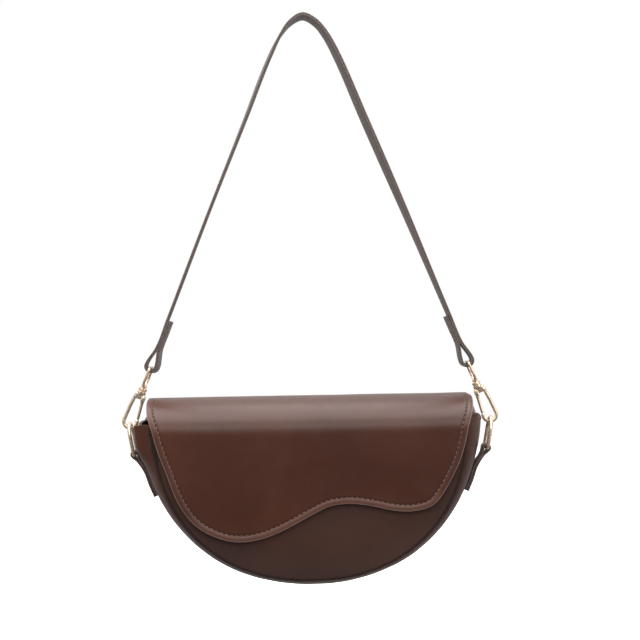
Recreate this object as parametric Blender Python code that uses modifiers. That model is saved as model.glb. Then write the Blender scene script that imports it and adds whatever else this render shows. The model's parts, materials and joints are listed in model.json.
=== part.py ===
"""Half-moon shoulder bag: leather body with a wavy flap, carried on a clip-on strap.

Metres, +Z up, front towards -Y. The origin is the underside of the strap at its highest point,
where a hook or a shoulder carries the bag. The body hangs below it.
"""

import math

import bmesh
import bpy
from mathutils import Matrix, Vector

# Driving dimensions of the whole bag
STRAP_DROP = 0.292            # strap underside at the top, down to the top of the flap
HALF_DEPTH = 0.038            # body centre to the outer face of the front or back panel
BODY_BACK = 0.0030            # strap plane back to the body centre, so that the bag hangs level
GAP = 0.0003                  # air kept between pieces that touch on the real bag
OVERRUN = 0.002               # how far a cutter reaches past what it cuts

# Outline of the front and back panels, a half moon with full shoulders
PANEL_HALF_WIDTH = 0.1175
SHOULDER_DROP = 0.020         # flap top down to the widest place of the panels
FRONT_MOUTH_DROP = 0.0180     # flap top down to the top edge of the front panel
PANEL_BOTTOM = 0.1368         # flap top down to the lowest point of the panels
PANEL_FULLNESS_share = 2.2    # power of the oval; 2 is an ellipse and more is squarer
OUTLINE_STEPS = 40

# Leather, board and lining thicknesses
PANEL_LEATHER = 0.0012
FRONT_BOARD = 0.0010
BACK_BOARD = 0.0020
LINING = 0.0006

# Gusset, the strip that joins the panels and swells out between them
GUSSET_SWELL_BOTTOM = 0.0070
GUSSET_SWELL_MOUTH = 0.0140
GUSSET_SWELL_POWER_share = 3.0
MOUTH_FALL_share = 0.94       # of the back half depth, over which the mouth edge falls to the hinge line
MOUTH_FALL_POWER_share = 4.0
GUSSET_ROWS = 8

# Flap
FLAP_OVERHANG = 0.0025         # each side past the widest place of the panels
FLAP_DROP = 0.1055            # flap top down to the lowest point of the long lobe
FLAP_RISE = 0.028             # hinge line up to the top of the arch
HINGE_STRAIGHT = 0.003        # upright stretch between the hinge line and the arch
FLAP_LEATHER = 0.0012
FLAP_LINING = 0.0010
FLAP_STANDOFF = 0.0037        # front panel to the flap's inner face, filled by the snap
ARCH_STEPS = 12
FLAP_EDGE_shares = (          # half widths and drops along the edge, right side round to left
    (0.996, 0.060), (0.977, 0.235), (0.928, 0.445), (0.875, 0.570), (0.810, 0.695),
    (0.745, 0.770), (0.630, 0.804), (0.515, 0.798), (0.375, 0.763), (0.240, 0.744),
    (0.115, 0.760), (0.000, 0.820), (-0.155, 0.912), (-0.310, 0.980), (-0.465, 1.000),
    (-0.615, 0.953), (-0.725, 0.872), (-0.815, 0.735), (-0.895, 0.503), (-0.955, 0.310),
    (-0.987, 0.150),
)
FLAP_EDGE_STEPS = 3

# Magnetic snap on the centre line
SNAP_DROP = 0.068             # flap top down to the middle of the snap
SNAP_RADIUS = 0.0085
SNAP_CUP_HEIGHT = 0.0020
SNAP_SOCKET_RADIUS = 0.0045
SNAP_SOCKET_DEPTH = 0.0014
SNAP_PLATE = 0.0008
SNAP_STUD_RADIUS = 0.0025
SNAP_STUD_LENGTH = 0.0011
SNAP_HUB_RADIUS = 0.0020
SNAP_WASHER = 0.0004
SNAP_SIDES = 24

# Strap, two bonded layers whose ends fold back round the eyes of the clasps
STRAP_WIDTH = 0.016
STRAP_LEATHER = 0.0012
STRAP_LINING = 0.0010
STRAP_FOLD = 0.039            # eye bar up to the folded-back end
STRAP_LOOP_RADIUS = 0.0042    # middle of the strap round the eye bar
STRAP_LOOP_CLOSE = 0.016      # eye bar up to where the two legs of the loop meet
STRAP_STEPS = 5
STRAP_SIDE_shares = (         # across and down, from the top to the folded-back end
    (0.088, 0.0206), (0.157, 0.060), (0.226, 0.120), (0.427, 0.346), (0.710, 0.664),
)

# Clasps: a swivelling eye, a hook and its sprung gate. They lean in and up from the rings.
CLASP_LEAN = math.radians(22.3)
EYE_WIRE = 0.0011
EYE_HEIGHT = 0.0150
EYE_SIDE_ROOM = 0.0005        # each side of the strap inside the eye
EYE_NECK_share = 0.45         # of the half width, over which the lower end narrows
EYE_WAIST_share = 0.86        # half width half way down that end
EYE_FOOT_share = 0.55         # half width at its foot
POST_RADIUS = 0.0012
POST_HEAD_RADIUS = 0.0021
POST_HEAD = 0.0008
COLLAR_RADIUS = 0.0034
COLLAR_LENGTH = 0.0062
COLLAR_ROOM = 0.0005          # below the eye
SWIVEL_ROOM = 0.0003          # round the post and its head
HOOK_WIRE = 0.0014
HOOK_HALF_SPAN = 0.0051       # clasp axis to the middle of the wire where the bend starts
HOOK_SHOULDER = 0.0037        # clasp axis to the middle of the long leg at the yoke
GATE_SHOULDER = 0.0029        # clasp axis to the gate's pin
HOOK_TIP_RISE = 0.0025        # how far the tip climbs above the middle of the bend
YOKE_HEIGHT = 0.0035
YOKE_HALF_DEPTH = 0.0025
EAR_LENGTH = 0.0065
EAR_WALL = 0.0010
PIN_RADIUS = 0.0006
PIN_ROOM = 0.0003
PIVOT_DROP = 0.0042           # top of the yoke down to the gate's pin
GATE_WIRE = 0.0010
GATE_LENGTH = 0.0157          # pin to the gate's free end
GATE_HEAD_RADIUS = 0.0014
GATE_HEAD_THICK = 0.0014
GATE_END_ROOM = 0.0005
SPRING_LEAF = 0.0002
SPRING_STEPS = 7

# Rings and the tabs that hold them to the gusset. A ring is round above and straight below.
RING_WIRE = 0.0014
RING_HEIGHT = 0.0240          # middle of the wire at the top to the middle of the straight bar
RING_SIDE_ROOM = 0.0010       # each side of the tab inside the ring
RING_CORNER = 0.0028
RING_LEAN = math.radians(10.0)
RING_ROOM = 0.0006            # below the ring's wire in the hook's bend
RING_LEVEL_share = 0.094      # share of the way round the gusset at which the bar lies
RING_STANDOFF = 0.0072        # gusset out to the middle of the bar
TAB_WIDTH = 0.015
TAB_LEATHER = 0.0015
TAB_WRAP = math.radians(198)  # how far the tab runs round the ring's bar
TAB_TOP_share = 0.165         # share of the way from the widest place round to the bottom
TAB_END_share = 0.262

# Derived levels and places
FLAP_HALF_WIDTH = PANEL_HALF_WIDTH + FLAP_OVERHANG
FLAP_TOP = -STRAP_DROP
HINGE_Z = FLAP_TOP - FLAP_RISE
ARCH_RISE = FLAP_RISE - HINGE_STRAIGHT
BACK_MOUTH_DROP = FLAP_RISE + GAP
PANEL_REACH = PANEL_BOTTOM - SHOULDER_DROP
SHOULDER_Z = FLAP_TOP - SHOULDER_DROP
PANEL_INNER = HALF_DEPTH - PANEL_LEATHER
BOARD_OUTER = PANEL_INNER - GAP
LINING_INNER = BOARD_OUTER - max(FRONT_BOARD, BACK_BOARD) - GAP - LINING
FLAP_THICKNESS = FLAP_LEATHER + GAP + FLAP_LINING
FLAP_FRONT = HALF_DEPTH + FLAP_STANDOFF + FLAP_THICKNESS
ARCH_HALF = (HALF_DEPTH + FLAP_FRONT) / 2
ARCH_MIDDLE = HALF_DEPTH - ARCH_HALF
STRAP_THICKNESS = STRAP_LEATHER + GAP + STRAP_LINING
COLLAR_TOP = EYE_HEIGHT + EYE_WIRE + COLLAR_ROOM
YOKE_TOP = COLLAR_TOP + COLLAR_LENGTH - YOKE_HEIGHT / 3
GATE_PIVOT = YOKE_TOP + PIVOT_DROP
GATE_REACH = GATE_LENGTH + GATE_END_ROOM + HOOK_TIP_RISE
GATE_SLANT = math.asin((HOOK_HALF_SPAN - GATE_SHOULDER) / GATE_REACH)
HOOK_BEND = GATE_PIVOT + GATE_REACH * math.cos(GATE_SLANT)
RING_RADIUS = TAB_WIDTH / 2 + RING_SIDE_ROOM + RING_WIRE
RING_SEAT = HOOK_BEND + HOOK_HALF_SPAN - HOOK_WIRE - RING_ROOM - RING_WIRE


def clear_scene():
    """Remove every object and start two collections: the bag and its hidden cutters."""
    for leftover in list(bpy.data.objects):
        bpy.data.objects.remove(leftover, do_unlink=True)
    for title in ("shoulder_bag", "cutters"):
        collection = bpy.data.collections.new(title)
        bpy.context.scene.collection.children.link(collection)
        COLLECTIONS[title] = collection


def finish(name, colour, roughness, metallic=0.0):
    """Make one Principled material."""
    material = bpy.data.materials.new(name)
    material.use_nodes = True
    shader = material.node_tree.nodes["Principled BSDF"]
    shader.inputs["Base Color"].default_value = (*colour, 1.0)
    shader.inputs["Roughness"].default_value = roughness
    shader.inputs["Metallic"].default_value = metallic
    return material


def add_object(name, mesh, material=None, holder=None):
    """Link a mesh as a part, or as a hidden cutter when it has no material.

    A holder is an empty and the place of the mesh's own origin as seen from it.
    """
    piece = bpy.data.objects.new(name, mesh)
    if holder:
        piece.parent, piece.location = holder
    if material is None:
        piece.hide_render = True
        piece.display_type = "WIRE"
        COLLECTIONS["cutters"].objects.link(piece)
    else:
        mesh.materials.append(material)
        COLLECTIONS["shoulder_bag"].objects.link(piece)
    return piece


def add_holder(name, place, turn=0.0, origin=(0.0, 0.0, 0.0)):
    """An empty on a joint's axis, turned about Y, and the place of its pieces' origin."""
    empty = bpy.data.objects.new(name, None)
    empty.location = place
    empty.rotation_euler = (0.0, turn, 0.0)
    COLLECTIONS["shoulder_bag"].objects.link(empty)
    return empty, origin


def thicken(piece, thickness, offset=-1.0):
    """Solidify an open surface: inwards from its outer face, or about its middle."""
    shell = piece.modifiers.new("thickness", "SOLIDIFY")
    shell.thickness = thickness
    shell.offset = offset
    shell.use_even_offset = True
    shell.use_quality_normals = True


def combine(piece, tool, operation):
    """Join a hidden tool to a piece, or cut it away."""
    cut = piece.modifiers.new(tool.name, "BOOLEAN")
    cut.operation = operation
    cut.solver = "EXACT"
    cut.object = tool


def grid_mesh(name, rows):
    """Open surface through rows of points."""
    shape = bmesh.new()
    lines = [[shape.verts.new(point) for point in row] for row in rows]
    for low, high in zip(lines, lines[1:]):
        for index in range(len(low) - 1):
            shape.faces.new((low[index], low[index + 1], high[index + 1], high[index]))
    mesh = bpy.data.meshes.new(name)
    shape.to_mesh(mesh)
    shape.free()
    mesh.shade_smooth()
    mesh.set_sharp_from_angle(angle=math.radians(40))
    return mesh


def face_mesh(name, points, creases=(), bend=None):
    """Open surface inside one flat outline, creased at levels of Z and then bent."""
    shape = bmesh.new()
    shape.faces.new([shape.verts.new(point) for point in points])
    for level in creases:
        everything = shape.verts[:] + shape.edges[:] + shape.faces[:]
        bmesh.ops.bisect_plane(shape, geom=everything, plane_co=(0, 0, level), plane_no=(0, 0, 1))
    if bend:
        for corner in shape.verts:
            corner.co = bend(corner.co)
    mesh = bpy.data.meshes.new(name)
    shape.to_mesh(mesh)
    shape.free()
    mesh.shade_smooth()
    mesh.set_sharp_from_angle(angle=math.radians(40))
    return mesh


def box_mesh(name, low, high):
    """Box between two corners."""
    shape = bmesh.new()
    middle = (Vector(low) + Vector(high)) / 2
    size = Vector(high) - Vector(low)
    place = Matrix.Translation(middle) @ Matrix.Diagonal((*size, 1.0))
    bmesh.ops.create_cube(shape, size=1.0, matrix=place)
    mesh = bpy.data.meshes.new(name)
    shape.to_mesh(mesh)
    shape.free()
    return mesh


def rod_mesh(name, start, end, radius, sides=16):
    """Cylinder from one point to another."""
    shape = bmesh.new()
    axis = Vector(end) - Vector(start)
    turn = axis.to_track_quat("Z", "Y").to_matrix().to_4x4()
    place = Matrix.Translation((Vector(start) + Vector(end)) / 2) @ turn
    bmesh.ops.create_cone(
        shape, cap_ends=True, segments=sides, radius1=radius, radius2=radius,
        depth=axis.length, matrix=place
    )
    mesh = bpy.data.meshes.new(name)
    shape.to_mesh(mesh)
    shape.free()
    mesh.shade_smooth()
    mesh.set_sharp_from_angle(angle=math.radians(40))
    return mesh


def tube_mesh(name, points, radius, closed=False, roundness=2):
    """Round wire along points: a bevelled curve made into one welded mesh."""
    curve = bpy.data.curves.new(name, "CURVE")
    curve.dimensions = "3D"
    curve.bevel_depth = radius
    curve.bevel_resolution = roundness
    curve.use_fill_caps = True
    route = curve.splines.new("POLY")
    route.points.add(len(points) - 1)
    for knot, point in zip(route.points, points):
        knot.co = (*point, 1.0)
    route.use_cyclic_u = closed
    holder = bpy.data.objects.new(name, curve)
    COLLECTIONS["cutters"].objects.link(holder)
    graph = bpy.context.evaluated_depsgraph_get()
    mesh = bpy.data.meshes.new_from_object(holder.evaluated_get(graph))
    bpy.data.objects.remove(holder, do_unlink=True)
    shape = bmesh.new()
    shape.from_mesh(mesh)
    bmesh.ops.remove_doubles(shape, verts=shape.verts, dist=GAP / 100)
    shape.to_mesh(mesh)
    shape.free()
    mesh.shade_smooth()
    mesh.set_sharp_from_angle(angle=math.radians(60))
    return mesh


def smooth_path(points, steps):
    """Smooth curve through points, with an even number of steps between each two."""
    knots = [Vector(point) for point in points]
    first = knots[0] * 2 - knots[1]
    last = knots[-1] * 2 - knots[-2]
    knots = [first, *knots, last]
    path = []
    for before, start, end, after in zip(knots, knots[1:], knots[2:], knots[3:]):
        reach = (end - start).length
        leave = (start - before) / max((start - before).length, GAP) + (end - start) / reach
        arrive = (end - start) / reach + (after - end) / max((after - end).length, GAP)
        for step in range(steps):
            t = step / steps
            path.append(
                start * (2 * t**3 - 3 * t**2 + 1) + end * (3 * t**2 - 2 * t**3)
                + leave * (reach / 2 * (t**3 - 2 * t**2 + t)) + arrive * (reach / 2 * (t**3 - t**2))
            )
    path.append(knots[-2])
    return path


def offset_path(path, distance):
    """Shift a path in the XZ plane to its right-hand side, keeping its legs parallel."""
    shifted = []
    for index, point in enumerate(path):
        came = (point - path[index - 1]).normalized() if index else None
        goes = (path[index + 1] - point).normalized() if index + 1 < len(path) else None
        came = came or goes
        goes = goes or came
        along = (came + goes).normalized()
        side = Vector((along.z, 0.0, -along.x))
        shifted.append(point + side * (distance / max(along.dot(goes), 0.5)))
    return shifted


def band(name, path, width, thickness, material, holder=None):
    """Flat strip whose middle surface follows a path in the XZ plane."""
    half = Vector((0.0, width / 2, 0.0))
    rows = [[point - half, point + half] for point in path]
    piece = add_object(name, grid_mesh(name, rows), material, holder)
    thicken(piece, thickness, offset=0.0)
    return piece


def oval_power(value, power):
    """Signed power."""
    return math.copysign(abs(value) ** power, value)


def panel_point(angle, inset=0.0):
    """Point on a panel's outline, from 0 at the right shoulder to 180 degrees at the left."""
    power = 2 / PANEL_FULLNESS_share
    drop = oval_power(math.sin(angle), power) * (PANEL_REACH - inset)
    across = PANEL_HALF_WIDTH - inset
    if math.sin(angle) > 0:
        across *= abs(math.cos(angle)) ** power
    return Vector((math.copysign(across, math.cos(angle)), 0.0, SHOULDER_Z - drop))


def panel_normal(angle, inset=0.0):
    """Outward direction of a panel's outline."""
    if math.sin(angle) <= 0:
        return Vector((math.copysign(1.0, math.cos(angle)), 0.0, 0.0))
    power = PANEL_FULLNESS_share - 1
    point = panel_point(angle, inset)
    across = PANEL_HALF_WIDTH - inset
    reach = PANEL_REACH - inset
    drop = SHOULDER_Z - point.z
    slope_x = oval_power(point.x / across, power) / across
    slope_z = -oval_power(drop / reach, power) / reach
    return Vector((slope_x, 0.0, slope_z)).normalized()


def mouth_drop(depth_share):
    """Mouth edge below the flap's top at a share of the half depth: level in front, falling behind."""
    fallen_share = min(max(depth_share, 0.0) / MOUTH_FALL_share, 1.0)
    return FRONT_MOUTH_DROP + (BACK_MOUTH_DROP - FRONT_MOUTH_DROP) * fallen_share**MOUTH_FALL_POWER_share


def mouth_angle(drop, inset=0.0):
    """Angle of the outline at a level below the flap's top."""
    return math.asin(oval_power((drop - SHOULDER_DROP) / (PANEL_REACH - inset), PANEL_FULLNESS_share / 2))


def panel_outline(inset, y):
    """Half moon from the right mouth corner round the bottom to the left one."""
    start = mouth_angle(mouth_drop(math.copysign(1.0, y)), inset)
    turn = (math.pi - 2 * start) / OUTLINE_STEPS
    points = [panel_point(start + turn * step, inset) for step in range(OUTLINE_STEPS + 1)]
    return [(point.x, y, point.z) for point in points]


def plate(name, inset, y_outer, thickness, material):
    """Flat half-moon layer, on the front for a negative outer face and on the back for a positive."""
    outline = panel_outline(inset, y_outer)
    if y_outer < 0:
        outline.reverse()
    piece = add_object(name, face_mesh(name, outline), material, HOLDERS["body"])
    thicken(piece, thickness)
    return piece


def gusset_point(angle, depth_share, inset, half_depth):
    """Point on the gusset, at a share of its half depth from the middle."""
    end_share = abs(angle / (math.pi / 2) - 1)
    swell = GUSSET_SWELL_BOTTOM + (GUSSET_SWELL_MOUTH - GUSSET_SWELL_BOTTOM) * end_share**3
    swell *= 1 - abs(depth_share) ** GUSSET_SWELL_POWER_share
    point = panel_point(angle, inset) + panel_normal(angle, inset) * swell
    point.y = depth_share * half_depth
    return point


def gusset_strip(name, inset, half_depth, thickness, material):
    """Strip round the half moon between the panels, up to the mouth edge at each end."""
    rows = []
    for row in range(GUSSET_ROWS + 1):
        depth_share = math.sin(math.pi / 2 * (row / GUSSET_ROWS * 2 - 1))
        start = mouth_angle(mouth_drop(depth_share), inset)
        turn = (math.pi - 2 * start) / OUTLINE_STEPS
        angles = [start + turn * step for step in range(OUTLINE_STEPS + 1)]
        rows.append([gusset_point(angle, depth_share, inset, half_depth) for angle in angles])
    piece = add_object(name, grid_mesh(name, rows), material, HOLDERS["body"])
    thicken(piece, thickness)
    return piece


def arch_profile(inset):
    """Side view of the flap: up from the hinge, over the top and down to the front plane."""
    profile = [Vector((0.0, HALF_DEPTH, HINGE_Z))]
    for step in range(ARCH_STEPS + 1):
        angle = math.pi * step / ARCH_STEPS
        rise = FLAP_TOP - ARCH_RISE * (1 - math.sin(angle))
        profile.append(Vector((0.0, ARCH_MIDDLE + ARCH_HALF * math.cos(angle), rise)))
    profile.append(Vector((0.0, -FLAP_FRONT, FLAP_TOP - FLAP_DROP)))
    shifted = []
    for index, point in enumerate(profile):
        came = (point - profile[index - 1]).normalized() if index else Vector((0.0, 0.0, 1.0))
        goes = (profile[index + 1] - point).normalized() if index + 1 < len(profile) else came
        along = (came + goes).normalized()
        side = Vector((0.0, along.z, -along.y))
        shifted.append(point - side * (inset / along.dot(goes)))
    return profile, shifted


def flap_levels():
    """How far each crease of the flap lies from the hinge along its surface."""
    profile, _ = arch_profile(0.0)
    levels = [0.0]
    for start, end in zip(profile, profile[1:]):
        levels.append(levels[-1] + (end - start).length)
    return levels


def flap_level(drop):
    """Distance along the flap from its hinge to a drop below its top, on the front side."""
    arch = flap_levels()[1:]
    if drop >= ARCH_RISE:
        return arch[ARCH_STEPS] + drop - ARCH_RISE
    step = ARCH_STEPS * (1 - math.asin(1 - drop / ARCH_RISE) / math.pi)
    whole = min(int(step), ARCH_STEPS - 1)
    return arch[whole] + (arch[whole + 1] - arch[whole]) * (step - whole)


def flap_layer(name, inset, thickness, material):
    """One layer of the flap: its flat pattern, creased and bent over the arch."""
    levels = flap_levels()
    _, profile = arch_profile(inset)
    knots = [(share_x * FLAP_HALF_WIDTH, 0.0, share_z * FLAP_DROP) for share_x, share_z in FLAP_EDGE_shares]
    knots = [(FLAP_HALF_WIDTH, 0.0, 0.0), *knots, (-FLAP_HALF_WIDTH, 0.0, 0.0)]
    edge = smooth_path(knots, FLAP_EDGE_STEPS)
    pattern = [(point.x, 0.0, -flap_level(max(point.z, 0.0))) for point in edge]
    pattern = [(FLAP_HALF_WIDTH, 0.0, 0.0), *pattern, (-FLAP_HALF_WIDTH, 0.0, 0.0)]
    pattern.reverse()

    def bend(corner):
        reach = -corner.z
        index = 0
        while index < len(levels) - 2 and reach > levels[index + 1]:
            index += 1
        share = (reach - levels[index]) / (levels[index + 1] - levels[index])
        place = profile[index].lerp(profile[index + 1], share)
        return Vector((corner.x, place.y, place.z))

    creases = [-level for level in levels[1:ARCH_STEPS + 2]]
    piece = add_object(name, face_mesh(name, pattern, creases, bend), material, HOLDERS["flap"])
    thicken(piece, thickness)
    return piece


def build_body():
    """Panels, stiffening boards, gusset and lining."""
    inset = PANEL_LEATHER + GAP
    for title, sign, board in (("front", -1, FRONT_BOARD), ("back", 1, BACK_BOARD)):
        plate(f"{title}_panel", 0.0, sign * HALF_DEPTH, PANEL_LEATHER, LEATHER)
        plate(f"{title}_board", inset, sign * BOARD_OUTER, board, CARD)
        plate(f"{title}_lining", inset, sign * (BOARD_OUTER - board - GAP), LINING, CLOTH)
    gusset_strip("gusset", 0.0, BOARD_OUTER, PANEL_LEATHER, LEATHER)
    gusset_strip("gusset_lining", inset, LINING_INNER - GAP, LINING, CLOTH)


def build_flap():
    """Two layers of the flap, with their outer faces out."""
    flap_layer("flap_outer", 0.0, FLAP_LEATHER, LEATHER)
    flap_layer("flap_lining", FLAP_LEATHER + GAP, FLAP_LINING, CLOTH)


def disc(name, group, y_start, y_end, radius, material=None):
    """Round disc on the snap's axis, between two depths, on the body or on the flap."""
    z = FLAP_TOP - SNAP_DROP
    mesh = rod_mesh(name, (0, y_start, z), (0, y_end, z), radius, SNAP_SIDES)
    return add_object(name, mesh, material, HOLDERS[group])


def build_snap():
    """Magnetic snap: a cup on the front panel, a stud on the flap, and their hidden washers."""
    cup_back = -HALF_DEPTH - GAP
    cup_front = cup_back - SNAP_CUP_HEIGHT
    cup = disc("snap_cup", "body", cup_back, cup_front, SNAP_RADIUS, METAL)
    hub = disc("cup_hub", "body", cup_back - SNAP_PLATE / 2, -PANEL_INNER, SNAP_HUB_RADIUS)
    combine(cup, hub, "UNION")
    socket_floor = cup_front + SNAP_SOCKET_DEPTH
    socket = disc("cup_socket", "body", socket_floor, cup_front - OVERRUN, SNAP_SOCKET_RADIUS)
    combine(cup, socket, "DIFFERENCE")
    hub_room = SNAP_HUB_RADIUS + GAP
    front_hole = disc("front_hole", "body", -PANEL_INNER + OVERRUN / 4, -HALF_DEPTH - OVERRUN, hub_room)
    combine(bpy.data.objects["front_panel"], front_hole, "DIFFERENCE")
    washer_room = SNAP_RADIUS + GAP
    board_inner = -BOARD_OUTER + FRONT_BOARD
    board_hole = disc("board_hole", "body", board_inner + OVERRUN, -BOARD_OUTER - OVERRUN, washer_room)
    combine(bpy.data.objects["front_board"], board_hole, "DIFFERENCE")
    disc("snap_washer_front", "body", -BOARD_OUTER, -BOARD_OUTER + SNAP_WASHER, SNAP_RADIUS, METAL)

    plate_back = cup_front - GAP
    plate_front = plate_back - SNAP_PLATE
    lining_face = -HALF_DEPTH - FLAP_STANDOFF
    lining_outer = lining_face - FLAP_LINING
    pocket_floor = lining_outer + SNAP_WASHER + GAP
    stud = disc("snap_stud", "flap", plate_back, plate_front, SNAP_RADIUS, METAL)
    plate_middle = (plate_back + plate_front) / 2
    nose = disc("stud_nose", "flap", plate_middle, plate_back + SNAP_STUD_LENGTH, SNAP_STUD_RADIUS)
    combine(stud, nose, "UNION")
    combine(stud, disc("stud_hub", "flap", plate_middle, pocket_floor, SNAP_HUB_RADIUS), "UNION")
    lining = bpy.data.objects["flap_lining"]
    beyond = lining_outer - OVERRUN
    combine(lining, disc("flap_hole", "flap", lining_face + OVERRUN, beyond, hub_room), "DIFFERENCE")
    combine(lining, disc("flap_pocket", "flap", pocket_floor, beyond, washer_room), "DIFFERENCE")
    disc("snap_washer_flap", "flap", lining_outer + SNAP_WASHER, lining_outer, SNAP_RADIUS, METAL)


def carrying_places():
    """Right side: the ring's bar in the tab, the middle of its round top, and the eye's bar."""
    angle = math.pi / 2 * RING_LEVEL_share
    bar = gusset_point(angle, 0.0, 0.0, HALF_DEPTH) + panel_normal(angle) * RING_STANDOFF
    up = Vector((math.sin(RING_LEAN), 0.0, math.cos(RING_LEAN)))
    along = Vector((math.sin(CLASP_LEAN), 0.0, -math.cos(CLASP_LEAN)))
    return bar, bar + up * (RING_HEIGHT - RING_RADIUS), bar + up * RING_HEIGHT - along * RING_SEAT


def clasp_place(across, down):
    """Point in the picture plane, across and down the right clasp from its eye bar."""
    along = Vector((math.sin(CLASP_LEAN), 0.0, -math.cos(CLASP_LEAN)))
    out = Vector((math.cos(CLASP_LEAN), 0.0, math.sin(CLASP_LEAN)))
    return EYE_BAR + out * across + along * down


def mirrored(place, side):
    """A place on the right, or its mirror image on the left."""
    return Vector((place.x * side, place.y, place.z))


def strap_path():
    """Middle of the strap from its right folded end over the top to its left folded end."""
    leg = (STRAP_THICKNESS + GAP) / 2
    bar_seat = EYE_WIRE + GAP + STRAP_THICKNESS / 2
    bend_middle = bar_seat - STRAP_LOOP_RADIUS
    folded = (STRAP_FOLD, (STRAP_FOLD + STRAP_LOOP_CLOSE) / 2, STRAP_LOOP_CLOSE)
    fold = [clasp_place(-leg, -rise) for rise in folded]
    loop = []
    for turn in range(-4, 5):
        angle = math.pi / 8 * turn
        across = math.sin(angle) * STRAP_LOOP_RADIUS
        loop.append(clasp_place(across, bend_middle + math.cos(angle) * STRAP_LOOP_RADIUS))
    close = clasp_place(leg, -STRAP_LOOP_CLOSE)
    join = clasp_place(leg, -STRAP_FOLD)
    top = STRAP_THICKNESS / 2
    side = [Vector((join.x * across, 0.0, top + (join.z - top) * down)) for across, down in STRAP_SIDE_shares]
    half = [*fold, *loop, close, join, *reversed(side)]
    other = [mirrored(point, -1) for point in reversed(half)]
    knots = [*half, Vector((0.0, 0.0, top)), *other]
    return smooth_path(knots, STRAP_STEPS - 2)


def build_strap():
    """Outer and lining layers of the strap, one inside the other."""
    middle = strap_path()
    outer = offset_path(middle, (STRAP_THICKNESS - STRAP_LEATHER) / 2)
    lining = offset_path(middle, (STRAP_LINING - STRAP_THICKNESS) / 2)
    band("strap_outer", outer, STRAP_WIDTH, STRAP_LEATHER, LEATHER)
    band("strap_lining", lining, STRAP_WIDTH, STRAP_LINING, LEATHER)


def build_eye(side, name):
    """Swivel eye: a frame round the strap's loop, with a headed post below it."""
    frame = add_holder(f"{name}_axis", mirrored(EYE_BAR, side), -side * CLASP_LEAN)
    half = STRAP_WIDTH / 2 + EYE_SIDE_ROOM + EYE_WIRE
    corner = EYE_WIRE * 2
    shoulder = EYE_HEIGHT - half * EYE_NECK_share
    quarter = []
    for step in range(4):
        angle = math.pi / 2 * step / 3
        quarter.append((half - corner + math.sin(angle) * corner, -corner + math.cos(angle) * corner))
    waist = (half * EYE_WAIST_share, -(shoulder + EYE_HEIGHT) / 2)
    right = [*quarter, (half, -shoulder), waist, (half * EYE_FOOT_share, -EYE_HEIGHT)]
    loop = [(0.0, y, z) for y, z in right] + [(0.0, -y, z) for y, z in reversed(right)]
    eye = add_object(name, tube_mesh(name, loop, EYE_WIRE, closed=True), METAL, frame)
    head_top = COLLAR_TOP + COLLAR_LENGTH - POST_HEAD - SWIVEL_ROOM
    post = rod_mesh("post", (0, 0, -EYE_HEIGHT), (0, 0, -head_top - POST_HEAD / 2), POST_RADIUS)
    head = rod_mesh("head", (0, 0, -head_top), (0, 0, -head_top - POST_HEAD), POST_HEAD_RADIUS)
    combine(eye, add_object(f"{name}_post", post, None, frame), "UNION")
    combine(eye, add_object(f"{name}_head", head, None, frame), "UNION")


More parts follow.
